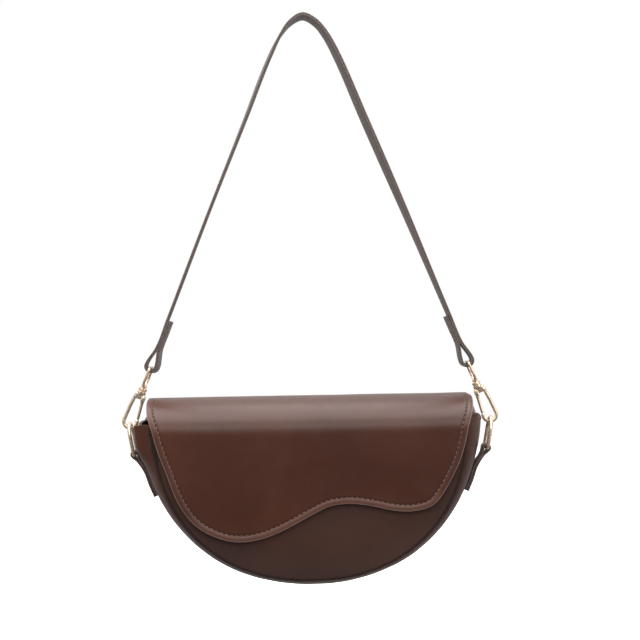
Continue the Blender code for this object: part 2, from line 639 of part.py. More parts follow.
def build_hook(side, suffix):
    """Hook, gate, pin and spring of one clasp, in the clasp's own leaning frame."""
    frame = add_holder(f"clasp_{suffix}_axis", mirrored(EYE_BAR, side), -side * CLASP_LEAN)
    outer = side * HOOK_HALF_SPAN
    pin_side = -side * GATE_SHOULDER
    bend = [(side * HOOK_SHOULDER, 0.0, -YOKE_TOP - YOKE_HEIGHT / 2)]
    for step in range(9):
        angle = math.pi * step / 8
        bend.append((outer * math.cos(angle), 0.0, -HOOK_BEND - HOOK_HALF_SPAN * math.sin(angle)))
    tip_rise = HOOK_TIP_RISE * math.cos(GATE_SLANT)
    bend.append((side * HOOK_TIP_RISE * math.sin(GATE_SLANT) - outer, 0.0, tip_rise - HOOK_BEND))
    name = f"hook_{suffix}"
    hook = add_object(name, tube_mesh(name, bend, HOOK_WIRE), METAL, frame)

    half = YOKE_HALF_DEPTH
    edge = GATE_SHOULDER + HOOK_WIRE
    low, high = sorted((-side * edge, side * (HOOK_SHOULDER + HOOK_WIRE)))
    yoke = box_mesh("yoke", (low, -half, -YOKE_TOP - YOKE_HEIGHT), (high, half, -YOKE_TOP))
    ear_in = -side * (GATE_SHOULDER - HOOK_WIRE)
    low, high = sorted((-side * edge, ear_in))
    ears = box_mesh("ears", (low, -half, -YOKE_TOP - EAR_LENGTH), (high, half, -YOKE_TOP - YOKE_HEIGHT / 2))
    collar = rod_mesh("collar", (0, 0, -COLLAR_TOP), (0, 0, -YOKE_TOP - YOKE_HEIGHT / 2), COLLAR_RADIUS)
    for title, mesh in (("yoke", yoke), ("ears", ears), ("collar", collar)):
        combine(hook, add_object(f"{title}_{suffix}", mesh, None, frame), "UNION")

    bore_end = YOKE_TOP + YOKE_HEIGHT + OVERRUN
    head_top = COLLAR_TOP + COLLAR_LENGTH - POST_HEAD - SWIVEL_ROOM * 2
    bore = rod_mesh("bore", (0, 0, -COLLAR_TOP + OVERRUN), (0, 0, -bore_end), POST_RADIUS + SWIVEL_ROOM)
    sink = rod_mesh("sink", (0, 0, -head_top), (0, 0, -bore_end), POST_HEAD_RADIUS + SWIVEL_ROOM)
    slot_half = half - EAR_WALL
    slot_top = GATE_PIVOT - GATE_HEAD_RADIUS - SPRING_LEAF - PIN_ROOM * 2
    slot_end = YOKE_TOP + EAR_LENGTH + OVERRUN
    low, high = sorted((-side * (edge + OVERRUN), ear_in + side * HOOK_WIRE / 2))
    slot = box_mesh("slot", (low, -slot_half, -slot_end), (high, slot_half, -slot_top))
    reach = half + OVERRUN
    hole_radius = PIN_RADIUS + PIN_ROOM
    hole = rod_mesh("hole", (pin_side, -reach, -GATE_PIVOT), (pin_side, reach, -GATE_PIVOT), hole_radius)
    for title, mesh in (("bore", bore), ("sink", sink), ("slot", slot), ("hole", hole)):
        combine(hook, add_object(f"{title}_{suffix}", mesh, None, frame), "DIFFERENCE")

    pin = rod_mesh("pin", (pin_side, -half, -GATE_PIVOT), (pin_side, half, -GATE_PIVOT), PIN_RADIUS, 12)
    add_object(f"gate_pin_{suffix}", pin, METAL, frame)

    turning = add_holder(f"gate_{suffix}_axis", (pin_side, 0.0, -GATE_PIVOT), side * GATE_SLANT)
    turning[0].parent = frame[0]
    name = f"gate_{suffix}"
    arm = [(0.0, 0.0, -reach) for reach in (GATE_HEAD_RADIUS / 2, GATE_LENGTH / 2, GATE_LENGTH)]
    gate = add_object(name, tube_mesh(name, arm, GATE_WIRE), METAL, turning)
    head_back = GATE_HEAD_THICK - slot_half + PIN_ROOM
    head = rod_mesh("gate_head", (0, -slot_half + PIN_ROOM, 0), (0, head_back, 0), GATE_HEAD_RADIUS)
    combine(gate, add_object(f"gate_head_{suffix}", head, None, turning), "UNION")
    eyelet = rod_mesh("gate_hole", (0, -slot_half, 0), (0, slot_half, 0), hole_radius)
    combine(gate, add_object(f"gate_hole_{suffix}", eyelet, None, turning), "DIFFERENCE")

    bow = GATE_HEAD_RADIUS + PIN_ROOM + SPRING_LEAF / 2
    leaf = []
    for step in range(SPRING_STEPS + 1):
        angle = math.pi * (step + 1) / (SPRING_STEPS + 2)
        leaf.append(Vector((bow * math.cos(angle) + pin_side, 0.0, bow * math.sin(angle) - GATE_PIVOT)))
    band(f"gate_spring_{suffix}", leaf, (slot_half - PIN_ROOM) * 2, SPRING_LEAF, METAL, frame)


def build_ring(side, suffix):
    """Ring between the clasp and the tab, standing on its bar's axis."""
    axis = add_holder(f"ring_{suffix}_axis", mirrored(RING_BAR, side), side * RING_LEAN)
    half = []
    for step in range(7):
        angle = math.pi / 2 * step / 6
        rise = RING_HEIGHT - RING_RADIUS * (1 - math.cos(angle))
        half.append((RING_RADIUS * math.sin(angle), rise))
    for step in range(4):
        angle = math.pi / 2 * step / 3
        reach = RING_RADIUS - RING_CORNER * (1 - math.cos(angle))
        half.append((reach, RING_CORNER * (1 - math.sin(angle))))
    loop = [(0.0, y, z) for y, z in half] + [(0.0, -y, z) for y, z in reversed(half[1:])]
    name = f"ring_{suffix}"
    add_object(name, tube_mesh(name, loop, RING_WIRE, closed=True), METAL, axis)


def build_tab(side, suffix):
    """Leather tab: sewn to the gusset with both ends, and looped through the ring."""
    layer = (TAB_LEATHER + GAP) / 2
    inner_leg = []
    outer_leg = []
    for share in (TAB_END_share, (TAB_END_share + TAB_TOP_share) / 2, TAB_TOP_share):
        base = gusset_point(math.pi / 2 * share, 0.0, 0.0, HALF_DEPTH)
        out = panel_normal(math.pi / 2 * share)
        inner_leg.append(base + out * (GAP + TAB_LEATHER / 2))
        outer_leg.append(base + out * (GAP + TAB_LEATHER / 2 + layer * 2))
    way = (RING_BAR - (inner_leg[-1] + outer_leg[-1]) / 2).normalized()
    across = Vector((-way.z, 0.0, way.x))
    radius = RING_WIRE + GAP + TAB_LEATHER / 2
    turn = []
    for step in range(-3, 4):
        angle = TAB_WRAP / 6 * step
        turn.append(RING_BAR + (way * math.cos(angle) - across * math.sin(angle)) * radius)
    knots = [*inner_leg, *turn, *reversed(outer_leg)]
    path = [mirrored(point, side) for point in smooth_path(knots, 3)]
    band(f"tab_{suffix}", path, TAB_WIDTH, TAB_LEATHER, LEATHER, HOLDERS["tabs"])


def build_carrying():
    """Everything that the body hangs on, left and right."""
    build_strap()
    for side, suffix in ((-1, "left"), (1, "right")):
        build_eye(side, f"swivel_eye_{suffix}")
        build_hook(side, suffix)
        build_ring(side, suffix)
        build_tab(side, suffix)


COLLECTIONS = {}
clear_scene()
RING_BAR, RING_MIDDLE, EYE_BAR = carrying_places()
SWING_POINT = (0.0, 0.0, RING_MIDDLE.z)
HINGE_POINT = (0.0, BODY_BACK + HALF_DEPTH, HINGE_Z)
HOLDERS = {
    "body": add_holder("bag_swing_axis", SWING_POINT, origin=(0.0, BODY_BACK, -RING_MIDDLE.z)),
    "tabs": add_holder("tab_swing_axis", SWING_POINT, origin=(0.0, 0.0, -RING_MIDDLE.z)),
    "flap": add_holder("flap_hinge_axis", HINGE_POINT, origin=(0.0, -HALF_DEPTH, -HINGE_Z)),
}
LEATHER = finish("smooth brown leather", (0.080, 0.040, 0.028), 0.42)
CLOTH = finish("dark brown lining", (0.045, 0.028, 0.022), 0.85)
CARD = finish("stiffening board", (0.35, 0.28, 0.20), 0.90)
METAL = finish("pale gold plating", (0.80, 0.62, 0.45), 0.25, 1.0)
build_body()
build_flap()
build_snap()
build_carrying()
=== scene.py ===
"""Dressed half-moon shoulder bag: soft leather skins, stitching, lining and plated fittings.

Metres, +Z up, front towards -Y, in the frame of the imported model.
"""
import json
from math import asin, copysign, cos, exp, hypot, pi, radians, sin, sqrt

import bmesh
import bpy
import numpy as np
from mathutils import Matrix, Vector, geometry, noise


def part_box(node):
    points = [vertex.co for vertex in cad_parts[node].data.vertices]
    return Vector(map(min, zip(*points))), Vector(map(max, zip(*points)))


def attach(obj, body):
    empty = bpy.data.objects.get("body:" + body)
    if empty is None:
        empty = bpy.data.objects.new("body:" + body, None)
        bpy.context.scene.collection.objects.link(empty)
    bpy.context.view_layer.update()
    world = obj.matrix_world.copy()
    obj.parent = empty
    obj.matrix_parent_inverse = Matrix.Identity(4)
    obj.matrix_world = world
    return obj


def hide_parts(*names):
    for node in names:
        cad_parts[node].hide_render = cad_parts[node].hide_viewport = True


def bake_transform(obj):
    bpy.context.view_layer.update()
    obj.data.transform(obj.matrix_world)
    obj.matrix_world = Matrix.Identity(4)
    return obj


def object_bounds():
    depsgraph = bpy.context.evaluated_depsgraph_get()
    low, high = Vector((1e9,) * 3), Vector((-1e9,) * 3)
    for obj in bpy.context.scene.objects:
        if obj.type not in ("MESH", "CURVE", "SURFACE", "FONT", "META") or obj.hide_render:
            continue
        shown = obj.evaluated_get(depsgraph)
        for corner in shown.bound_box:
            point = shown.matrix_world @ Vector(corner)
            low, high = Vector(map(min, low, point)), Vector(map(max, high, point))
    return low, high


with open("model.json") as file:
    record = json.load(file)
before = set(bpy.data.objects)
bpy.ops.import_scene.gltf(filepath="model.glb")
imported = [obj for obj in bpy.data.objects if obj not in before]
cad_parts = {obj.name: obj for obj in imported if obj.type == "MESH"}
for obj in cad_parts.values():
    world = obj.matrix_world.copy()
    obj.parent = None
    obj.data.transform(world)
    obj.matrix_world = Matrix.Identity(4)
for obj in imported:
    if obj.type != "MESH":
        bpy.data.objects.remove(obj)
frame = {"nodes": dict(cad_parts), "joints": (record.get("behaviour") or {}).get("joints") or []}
cad_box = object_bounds()
JOINTS = {joint["name"]: joint for joint in frame["joints"]}
MM = 0.001

# Places that the frame gives
FRONT_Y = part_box("front_panel")[0].y
BACK_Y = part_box("back_panel")[1].y
PANEL_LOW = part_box("back_panel")[0].z
MOUTH_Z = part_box("back_panel")[1].z
FLAP_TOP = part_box("flap_outer")[1].z
FLAP_FRONT_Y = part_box("flap_outer")[0].y
FLAP_HALF_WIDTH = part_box("flap_outer")[1].x
FLAP_DROP = FLAP_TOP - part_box("flap_outer")[0].z
HINGE_Z = JOINTS["flap_hinge"]["pos_m"][2]
RING_BAR = Vector(JOINTS["ring_right_tilt"]["pos_m"])
EYE_BAR = Vector(JOINTS["clasp_right_swivel"]["pos_m"])
CLASP_ALONG = Vector(JOINTS["clasp_right_swivel"]["axis"])
CLASP_OUT = Vector((-CLASP_ALONG.z, 0.0, CLASP_ALONG.x))
BODY_Y = (FRONT_Y + BACK_Y) / 2
HALF_DEPTH = (BACK_Y - FRONT_Y) / 2

# The bag's own sizes, as in its construction
PANEL_HALF_WIDTH = 117.5 * MM
SHOULDER_DROP = 20 * MM
PANEL_FULLNESS_share = 2.2
MOUTH_DROP = FLAP_TOP - MOUTH_Z
PANEL_REACH = FLAP_TOP - SHOULDER_DROP - PANEL_LOW
SKIN = 1.2 * MM
GAP = 0.3 * MM
GUSSET_HALF_DEPTH = HALF_DEPTH - SKIN - GAP
SWELL_BOTTOM = 7.0 * MM
SWELL_MOUTH = 14.0 * MM
FRONT_DROP = FLAP_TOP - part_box("front_panel")[1].z
MOUTH_FALL_share = 0.94
ARCH_RISE = 25 * MM
FLAP_EDGE_shares = (
    (0.996, 0.060), (0.977, 0.235), (0.928, 0.445), (0.875, 0.570), (0.810, 0.695),
    (0.745, 0.770), (0.630, 0.804), (0.515, 0.798), (0.375, 0.763), (0.240, 0.744),
    (0.115, 0.760), (0.000, 0.820), (-0.155, 0.912), (-0.310, 0.980), (-0.465, 1.000),
    (-0.615, 0.953), (-0.725, 0.872), (-0.815, 0.735), (-0.895, 0.503), (-0.955, 0.310),
    (-0.987, 0.150),
)
STRAP_WIDTH = 16 * MM
STRAP_LAYER = 1.2 * MM
STRAP_THICK = 2.5 * MM
STRAP_FOLD = 39 * MM
STRAP_LOOP = 4.2 * MM
STRAP_CLOSE = 16 * MM
STRAP_SIDE_shares = ((0.088, 0.0206), (0.157, 0.060), (0.226, 0.120), (0.427, 0.346), (0.710, 0.664))
STRAP_TWIST = (               # share of the strap's length from the right end, and degrees of twist
    (0.0, 0.0), (0.12, 0.0), (0.20, 3.0), (0.27, 11.0), (0.36, 13.0), (0.45, 10.0), (0.50, 3.0),
    (0.54, -9.0), (0.60, -12.0), (0.68, -7.0), (0.78, -7.0), (0.86, -9.0), (0.92, -4.0), (1.0, 0.0),
)
EYE_WIRE = 1.1 * MM
EYE_HEIGHT = 15 * MM
EYE_HALF = 9.6 * MM
YOKE_TOP = 21.63 * MM
GATE_PIVOT = 25.83 * MM
GATE_LENGTH = 15.7 * MM
GATE_REACH = 18.7 * MM
GATE_SHOULDER = 2.9 * MM
HOOK_WIRE = 1.4 * MM
HOOK_SHOULDER = 3.7 * MM
HOOK_SPAN = 5.1 * MM
GATE_SLANT = asin((HOOK_SPAN - GATE_SHOULDER) / GATE_REACH)
HOOK_BEND = GATE_PIVOT + GATE_REACH * cos(GATE_SLANT)
RING_WIRE = 1.4 * MM
RING_HEIGHT = 24.0 * MM
RING_RADIUS = 9.9 * MM
RING_CORNER = 2.8 * MM
RING_LEAN = radians(10)
TAB_WIDTH = 15 * MM
TAB_SKIN = 1.5 * MM
TAB_TOP_share = 0.165
TAB_END_share = 0.262
TAB_WRAP = radians(198)  # how far the tab runs round the ring's bar
TAB_SQUEEZE = 5.4 * MM        # bar to where the tab's two legs meet
TAB_SEWN_POINTS = 14          # points of the tab's path on its sewn outer leg
RIBBON_CORNER = 0.45 * MM
TIP_RISE = 2.0 * MM
SNAP_Z = FLAP_TOP - 68 * MM
SNAP_SIDES = 40
FLAP_THICK = 2.5 * MM
LINING_THICK = 0.6 * MM
BINDING_SKIN = 0.5 * MM
PAINT_DEPTH = 1.3 * MM        # flap's outer face to the middle of its painted edge
STITCH_IN = 4.2 * MM          # flap's edge to its row of stitches
FLOOR_DROP = 200 * MM
FLOOR_HALF = 3.0

# Stitches: pitch, length, radius and how deep they sink
FLAP_STITCH = (3.8 * MM, 2.9 * MM, 0.36 * MM)
BINDING_STITCH = (3.4 * MM, 2.6 * MM, 0.26 * MM)
SMALL_STITCH = (3.2 * MM, 2.4 * MM, 0.22 * MM, 0.10 * MM)

# Camera at the photograph's angle, for a square picture, and lamps
FOCAL_PIXELS = 1292
PICTURE_PIXELS = 640
SENSOR = 36.0
CAMERA_PLACE = Vector((0.0091, -1.0, -0.234))
CAMERA_ROLL = radians(-1.1)
LAMPS = (                     # name, place, aim, size and radiance
    ("top_lamp", (0.0, 0.0, 0.80), (0.0, 0.0, -0.3), (2.0, 1.4), 4.5),
    ("high_lamp", (0.0, -1.35, 0.55), (0.0, 0.0, -0.3), (1.9, 0.8), 3.5),
    ("left_lamp", (-1.5, -1.1, 0.0), (0.0, 0.0, -0.35), (0.8, 1.0), 1.1),
    ("right_lamp", (1.5, -1.1, 0.0), (0.0, 0.0, -0.35), (0.8, 1.0), 3.6),
)


def smoothstep(value, low, high):
    """0 below low, 1 above high, smooth between."""
    share = min(max((value - low) / (high - low), 0.0), 1.0)
    return share * share * (3 - 2 * share)


def bump_at(value, middle, width):
    """Bell curve of height 1."""
    return exp(-(((value - middle) / width) ** 2))


def turns(steps, sweep=pi / 2):
    """Angles from 0 to a sweep."""
    return [sweep * step / steps for step in range(steps + 1)]


def ripple(x, y, size, seed=0.0):
    """Smooth noise from -1 to 1, whose hills are about this size."""
    return noise.noise(Vector((x / size, y / size, seed)))


# Materials


WHITE = (1.0, 1.0, 1.0)
# Near-black colours of painted shade: in seams, grooves and over the front panel, and in stitch holes
SEAM_SHADE = (0.008, 0.004, 0.003)
HOLE_SHADE = (0.012, 0.006, 0.004)
WEAVE = 0.7 * MM              # one over and one under thread


def node(tree, kind, sockets, **settings):
    """New node with these settings, and a link, a colour or a number in each of these sockets."""
    made = tree.nodes.new(f"ShaderNode{kind}")
    for name, value in settings.items():
        setattr(made, name, value)
    for name, value in sockets.items():
        if isinstance(value, bpy.types.NodeSocket):
            tree.links.new(value, made.inputs[name])
        else:
            made.inputs[name].default_value = (*value, 1.0) if isinstance(value, tuple) else value
    return made


def worked(tree, operation, *values):
    """Result of a Math node on these values."""
    return node(tree, "Math", dict(enumerate(values)), operation=operation).outputs[0]


def shader_tree(name, roughness, metallic=0.0, specular=0.5):
    """New material with its tree, its shader's sockets and object coordinates."""
    material = bpy.data.materials.new(name)
    material.use_nodes = True
    tree = material.node_tree
    shader = tree.nodes["Principled BSDF"].inputs
    shader["Roughness"].default_value = roughness
    shader["Metallic"].default_value = metallic
    shader["Specular IOR Level"].default_value = specular
    return material, tree, shader, node(tree, "TexCoord", {}).outputs["Object"]


def textured(tree, kind, place, scale, **sockets):
    """First output of a texture on these coordinates."""
    return node(tree, f"Tex{kind}", {"Vector": place, "Scale": scale, **sockets}).outputs[0]


def ramp(tree, value, low, high, start=0.3, end=0.7):
    """Colour that runs from low to high as the value runs from start to end."""
    made = node(tree, "ValToRGB", {"Fac": value})
    for index, (place, colour) in enumerate(((start, low), (end, high))):
        made.color_ramp.elements[index].position = place
        made.color_ramp.elements[index].color = (*colour, 1.0)
    return made.outputs["Color"]


def mapped(tree, value, low, high, start=0.3, end=0.7):
    """Number that runs from low to high as the value runs from start to end."""
    ends = {"From Min": start, "From Max": end, "To Min": low, "To Max": high}
    return node(tree, "MapRange", {"Value": value, **ends}).outputs["Result"]


def blended(tree, factor, first, second, kind="MIX"):
    """Mix of two colours, by a socket or a plain number."""
    sockets = {0: factor, 6: first, 7: second}
    return node(tree, "Mix", sockets, data_type="RGBA", blend_type=kind).outputs[2]


def attribute(tree, name):
    """Number that the mesh carries at each point."""
    return node(tree, "Attribute", {}, attribute_name=name).outputs["Fac"]


def coat(tree, shader, colour, *heights):
    """Colour, and a chain of bumps: each a value with its depth in metres and its strength."""
    tree.links.new(colour, shader["Base Color"])
    below = {}
    for value, depth, strength in heights:
        sockets = {"Height": value, "Distance": depth, "Strength": strength, **below}
        below = {"Normal": node(tree, "Bump", sockets).outputs["Normal"]}
    tree.links.new(below["Normal"], shader["Normal"])


def leather(name, dark, light, rim, roughness, relief=1.0):
    """Smooth coated leather: mottled colour, fine pebbled grain, faint creases, worn edges, a painted
    highlight on the flap's marked border, and painted shade wherever the mesh marks it.
    """
    material, tree, shader, place = shader_tree(name, roughness, specular=0.4)
    clouds = textured(tree, "Noise", place, 11.0, Detail=4.0, Roughness=0.6)
    flecks = textured(tree, "Noise", place, 420.0, Detail=3.0, Roughness=0.7)
    creases = textured(tree, "Noise", place, 85.0, Detail=5.0, Roughness=0.62, Distortion=1.2)
    sockets = {"Vector": place, "Scale": 1500.0, "Smoothness": 0.6}
    grain = node(tree, "TexVoronoi", sockets, feature="SMOOTH_F1").outputs[0]
    body = ramp(tree, clouds, dark, light, 0.36, 0.66)
    body = blended(tree, 0.16 * relief, body, ramp(tree, flecks, (0.30, 0.30, 0.30), WHITE), "MULTIPLY")
    # Painted shade: marked places blend towards near-black and turn duller. The edge mark lightens worn
    # edges and paints the flap border's highlight.
    painted_shade = attribute(tree, "painted_shade")
    colour = blended(tree, painted_shade, blended(tree, attribute(tree, "edge"), body, rim), SEAM_SHADE)
    dull = mapped(tree, painted_shade, roughness, 0.95, 0.05, 0.6)
    rough = worked(tree, "MAXIMUM", mapped(tree, creases, roughness - 0.05, roughness + 0.07), dull)
    tree.links.new(rough, shader["Roughness"])
    coat(tree, shader, colour, (creases, 0.25 * MM, 0.16 * relief), (grain, 0.07 * MM, 0.30 * relief),
         (flecks, 0.03 * MM, 0.15 * relief))
    return material


def cloth(name, dark, light):
    """Plain woven lining with a few slubs."""
    material, tree, shader, place = shader_tree(name, 0.85, specular=0.25)
    shader["Sheen Weight"].default_value = 0.25
    shader["Sheen Roughness"].default_value = 0.5
    split = node(tree, "SeparateXYZ", {"Vector": place}).outputs
    waves = []
    for axis in ("X", "Z"):
        slanted = worked(tree, "ADD", split[axis], split["Y"])
        waves.append(worked(tree, "SINE", worked(tree, "MULTIPLY", slanted, 2 * pi / WEAVE)))
    weave = worked(tree, "MULTIPLY", *waves)
    slubs = textured(tree, "Noise", place, 90.0, Detail=4.0)
    colour = ramp(tree, weave, dark, light, 0.0, 1.0)
    colour = blended(tree, 0.3, colour, ramp(tree, slubs, (0.5, 0.5, 0.5), WHITE), "MULTIPLY")
    coat(tree, shader, colour, (weave, 0.06 * MM, 0.5), (slubs, 0.15 * MM, 0.2))
    return material


def metal(name, bright, warm, roughness):
    """Polished plating with faint handling marks."""
    material, tree, shader, place = shader_tree(name, roughness, metallic=0.80)
    marks = textured(tree, "Noise", place, 140.0, Detail=1.5, Roughness=0.5)
    fine = textured(tree, "Noise", place, 1200.0, Detail=1.0)
    tree.links.new(mapped(tree, fine, roughness - 0.03, roughness + 0.05), shader["Roughness"])
    coat(tree, shader, ramp(tree, marks, warm, bright), (marks, 0.04 * MM, 0.05), (fine, 0.003 * MM, 0.04))
    return material


def thread(name, dark, light):
    """Waxed sewing thread with the slant of its plies, and painted shade where it dives into its holes."""
    material, tree, shader, place = shader_tree(name, 0.55, specular=0.4)
    plies = textured(tree, "Wave", place, 700.0, Distortion=1.5)
    # Painted shade at the stitch ends, where the thread goes into its holes
    colour = blended(tree, attribute(tree, "painted_shade"), ramp(tree, plies, dark, light, 0.2, 0.8), HOLE_SHADE)
    coat(tree, shader, colour, (plies, 0.08 * MM, 0.5))
    return material


def fibre_board(name, dark, light):
    """Raw stiffening board."""
    material, tree, shader, place = shader_tree(name, 0.9, specular=0.2)
    fibres = textured(tree, "Noise", place, 500.0, Detail=6.0, Roughness=0.8)
    coat(tree, shader, ramp(tree, fibres, dark, light), (fibres, 0.15 * MM, 0.4))
    return material


LEATHER = leather(
    "brown_leather", (0.041, 0.0097, 0.0034), (0.056, 0.0142, 0.0052), (0.095, 0.042, 0.028), 0.40
)
# Paler and greyer than the bag's leather: the strap's own brown, partly lifted towards grey by a painted
# sheen of the white surroundings
STRAP_LEATHER = leather(
    "strap_leather", (0.108, 0.078, 0.067), (0.130, 0.096, 0.084), (0.084, 0.062, 0.054), 0.46, 0.2
)
# Much lighter than the leather: the edge's colour is a painted highlight along the flap's painted edge
EDGE_PAINT_AND_HIGHLIGHT = leather("edge_paint_and_highlight", (0.130, 0.075, 0.060), (0.160, 0.095, 0.078), (0.1, 0.05, 0.04), 0.34)
TAB_LEATHER = leather(
    "tab_leather", (0.058, 0.030, 0.024), (0.076, 0.041, 0.034), (0.086, 0.052, 0.044), 0.44, 0.4
)
LINING = cloth("lining_cloth", (0.020, 0.011, 0.008), (0.050, 0.030, 0.022))
GOLD = metal("pale_gold", (0.86, 0.70, 0.55), (0.74, 0.55, 0.38), 0.26)
STEEL = metal("spring_steel", (0.60, 0.60, 0.60), (0.45, 0.45, 0.45), 0.30)
THREAD = thread("brown_thread", (0.090, 0.045, 0.033), (0.170, 0.098, 0.076))
BOARD = fibre_board("fibre_board", (0.080, 0.056, 0.040), (0.150, 0.112, 0.084))


# Solids: each is a list of points and a list of faces


def merge(*solids):
    """Several solids as one."""
    points, faces = [], []
    for more, sides in solids:
        base = len(points)
        points += more
        faces += [tuple(index + base for index in side) for side in sides]
    return points, faces


def mirror_solid(solid):
    """Mirror image across the middle of the bag."""
    points, faces = solid
    flipped = [Vector((-point[0], point[1], point[2])) for point in points]
    return flipped, [tuple(reversed(side)) for side in faces]


def both_sides(solid):
    """Right solid and its mirror image on the left, each with its side's name."""
    return ("right", solid), ("left", mirror_solid(solid))


def in_mm(table):
    """Rows of millimetres, in metres."""
    return [tuple(number * MM for number in row) for row in table]


def band_faces(rows, count, closed=False):
    """Faces between rings of points."""
    faces = []
    for row in range(rows if closed else rows - 1):
        low, high = row * count, (row + 1) % rows * count
        for index in range(count):
            ahead = (index + 1) % count
            faces.append((low + index, low + ahead, high + ahead, high + index))
    return faces


def loft(rings, closed=False):
    """Skin over closed rings of points, capped unless the rings close on themselves."""
    count = len(rings[0])
    points = [point for ring in rings for point in ring]
    faces = band_faces(len(rings), count, closed)
    for row in () if closed else (0, len(rings) - 1):
        centre = len(points)
        points.append(sum((Vector(point) for point in rings[row]), Vector()) / count)
        for index in range(count):
            side = (row * count + index, row * count + (index + 1) % count, centre)
            faces.append(side if row else tuple(reversed(side)))
    return points, faces


def slab(outer, inner):
    """Closed sheet between two grids of points."""
    rows, columns = len(outer), len(outer[0])
    points = [point for row in outer for point in row] + [point for row in inner for point in row]
    back = rows * columns
    faces = []
    for row in range(rows - 1):
        for column in range(columns - 1):
            corner = row * columns + column
            side = (corner, corner + 1, corner + columns + 1, corner + columns)
            faces.append(side)
            faces.append(tuple(index + back for index in reversed(side)))
    order = np.arange(back).reshape(rows, columns)
    rim = np.concatenate([order[0], order[1:, -1], order[-1, -2::-1], order[-2:0:-1, 0]]).tolist()
    for start, end in zip(rim, rim[1:] + rim[:1]):
        faces.append((start, start + back, end + back, end))
    return points, faces


def circle(middle, side, other, radius, sides):
    """Points round a middle, in the plane of two directions."""
    ways = [side * cos(turn) + other * sin(turn) for turn in turns(sides, 2 * pi)[:-1]]
    return [middle + way * radius for way in ways]


def tube(path, radii, sides=14, closed=False):
    """Round rod along a path, with one radius or a radius for each point."""
    path = [Vector(point) for point in path]
    count = len(path)
    if not isinstance(radii, list):
        radii = [radii] * count
    rings = []
    side = None
    for index, point in enumerate(path):
        before = path[index - 1] if index or closed else point
        after = path[(index + 1) % count] if index + 1 < count or closed else point
        along = (after - before).normalized()
        side = side or along.orthogonal().normalized()
        side = (side - along * side.dot(along)).normalized()
        rings.append(circle(point, side, along.cross(side), radii[index], sides))
    return loft(rings, closed)


def rounded_rod(path, radius, sides=14):
    """Rod whose ends are round."""
    start, end = Vector(path[0]), Vector(path[-1])
    first = (start - Vector(path[1])).normalized()
    last = (end - Vector(path[-2])).normalized()
    ends = ((0.98, 0.20), (0.80, 0.60), (0.45, 0.89))
    points = [start + first * radius * reach for reach, _ in ends] + list(path)
    points += [end + last * radius * reach for reach, _ in reversed(ends)]
    radii = [radius * width for _, width in ends] + [radius] * len(path)
    return tube(points, radii + [radius * width for _, width in reversed(ends)], sides)


def lathe(profile, origin, axis, sides=28):
    """Turned solid: radii with their distances along an axis."""
    start, axis = Vector(origin), Vector(axis).normalized()
    side = axis.orthogonal().normalized()
    other = axis.cross(side)
    return loft([circle(start + axis * reach, side, other, radius, sides) for radius, reach in profile])


def rounded_section(width, thick, radius, steps=3):
    """Rectangle with rounded corners, as pairs across and through."""
    section = []
    for turn, (u, v) in enumerate(((1, 1), (-1, 1), (-1, -1), (1, -1))):
        for step in range(steps + 1):
            angle = pi / 2 * (turn + step / steps)
            section.append((
                u * (width / 2 - radius) + cos(angle) * radius,
                v * (thick / 2 - radius) + sin(angle) * radius,
            ))
    return section


def ribbon(path, section, widths, normals):
    """Section carried along a path by its directions of width and thickness."""
    rings = []
    for point, across, through in zip(path, widths, normals):
        rings.append([point + across * u + through * v for u, v in section])
    return loft(rings)


STITCH_PROFILE = (            # share of the half length, and share of the radius
    (-1.0, 0.35), (-0.85, 0.8), (-0.5, 1.0), (0.0, 1.05), (0.5, 1.0), (0.85, 0.8), (1.0, 0.35),
)
STITCH_SIDES = 6


def reaches(path):
    """Distance of each point from the start of a path."""
    return [0.0, *np.cumsum([(end - start).length for start, end in zip(path, path[1:])]).tolist()]


def stitches(path, normals, pitch, length, radius, sink=0.0):
    """Row of sewn stitches along a path, each a short thread whose ends dive into the leather."""
    reach = reaches(path)
    count = int(reach[-1] / pitch)
    solids = []
    for number in range(count):
        far = (number + 0.5) * reach[-1] / count
        index = max(i for i, passed in enumerate(reach[:-1]) if passed <= far)
        share = (far - reach[index]) / (reach[index + 1] - reach[index])
        centre = path[index].lerp(path[index + 1], share)
        along = (path[index + 1] - path[index]).normalized()
        up = normals[index].lerp(normals[index + 1], share).normalized()
        up = (up - along * up.dot(along)).normalized()
        across = along.cross(up)
        rings = []
        for place, width in STITCH_PROFILE:
            lift = radius * (0.55 - 1.1 * place * place) - sink
            middle = centre + along * (place * length / 2) + across * (place * radius * 0.5) + up * lift
            rings.append(circle(middle, across, up, radius * width, STITCH_SIDES))
        solids.append(loft(rings))
    return merge(*solids)


def sewn_box(face, normals, insets, along):
    """Box of small stitches on a face: two rows along it, at these insets, and two rows across."""
    rows = []
    for sign in (1, -1):
        row = [point + inset * sign for point, inset in zip(face, insets)]
        rows.append(stitches(row[along], normals[along], *SMALL_STITCH))
    for place in (1, -2):
        ends = [face[place] + insets[place] * share for share in (1, 0, -1)]
        rows.append(stitches(ends, [normals[place]] * 3, *SMALL_STITCH))
    return merge(*rows)


def placed(name, data):
    """New object in the scene."""
    made = bpy.data.objects.new(name, data)
    bpy.context.scene.collection.objects.link(made)
    return made


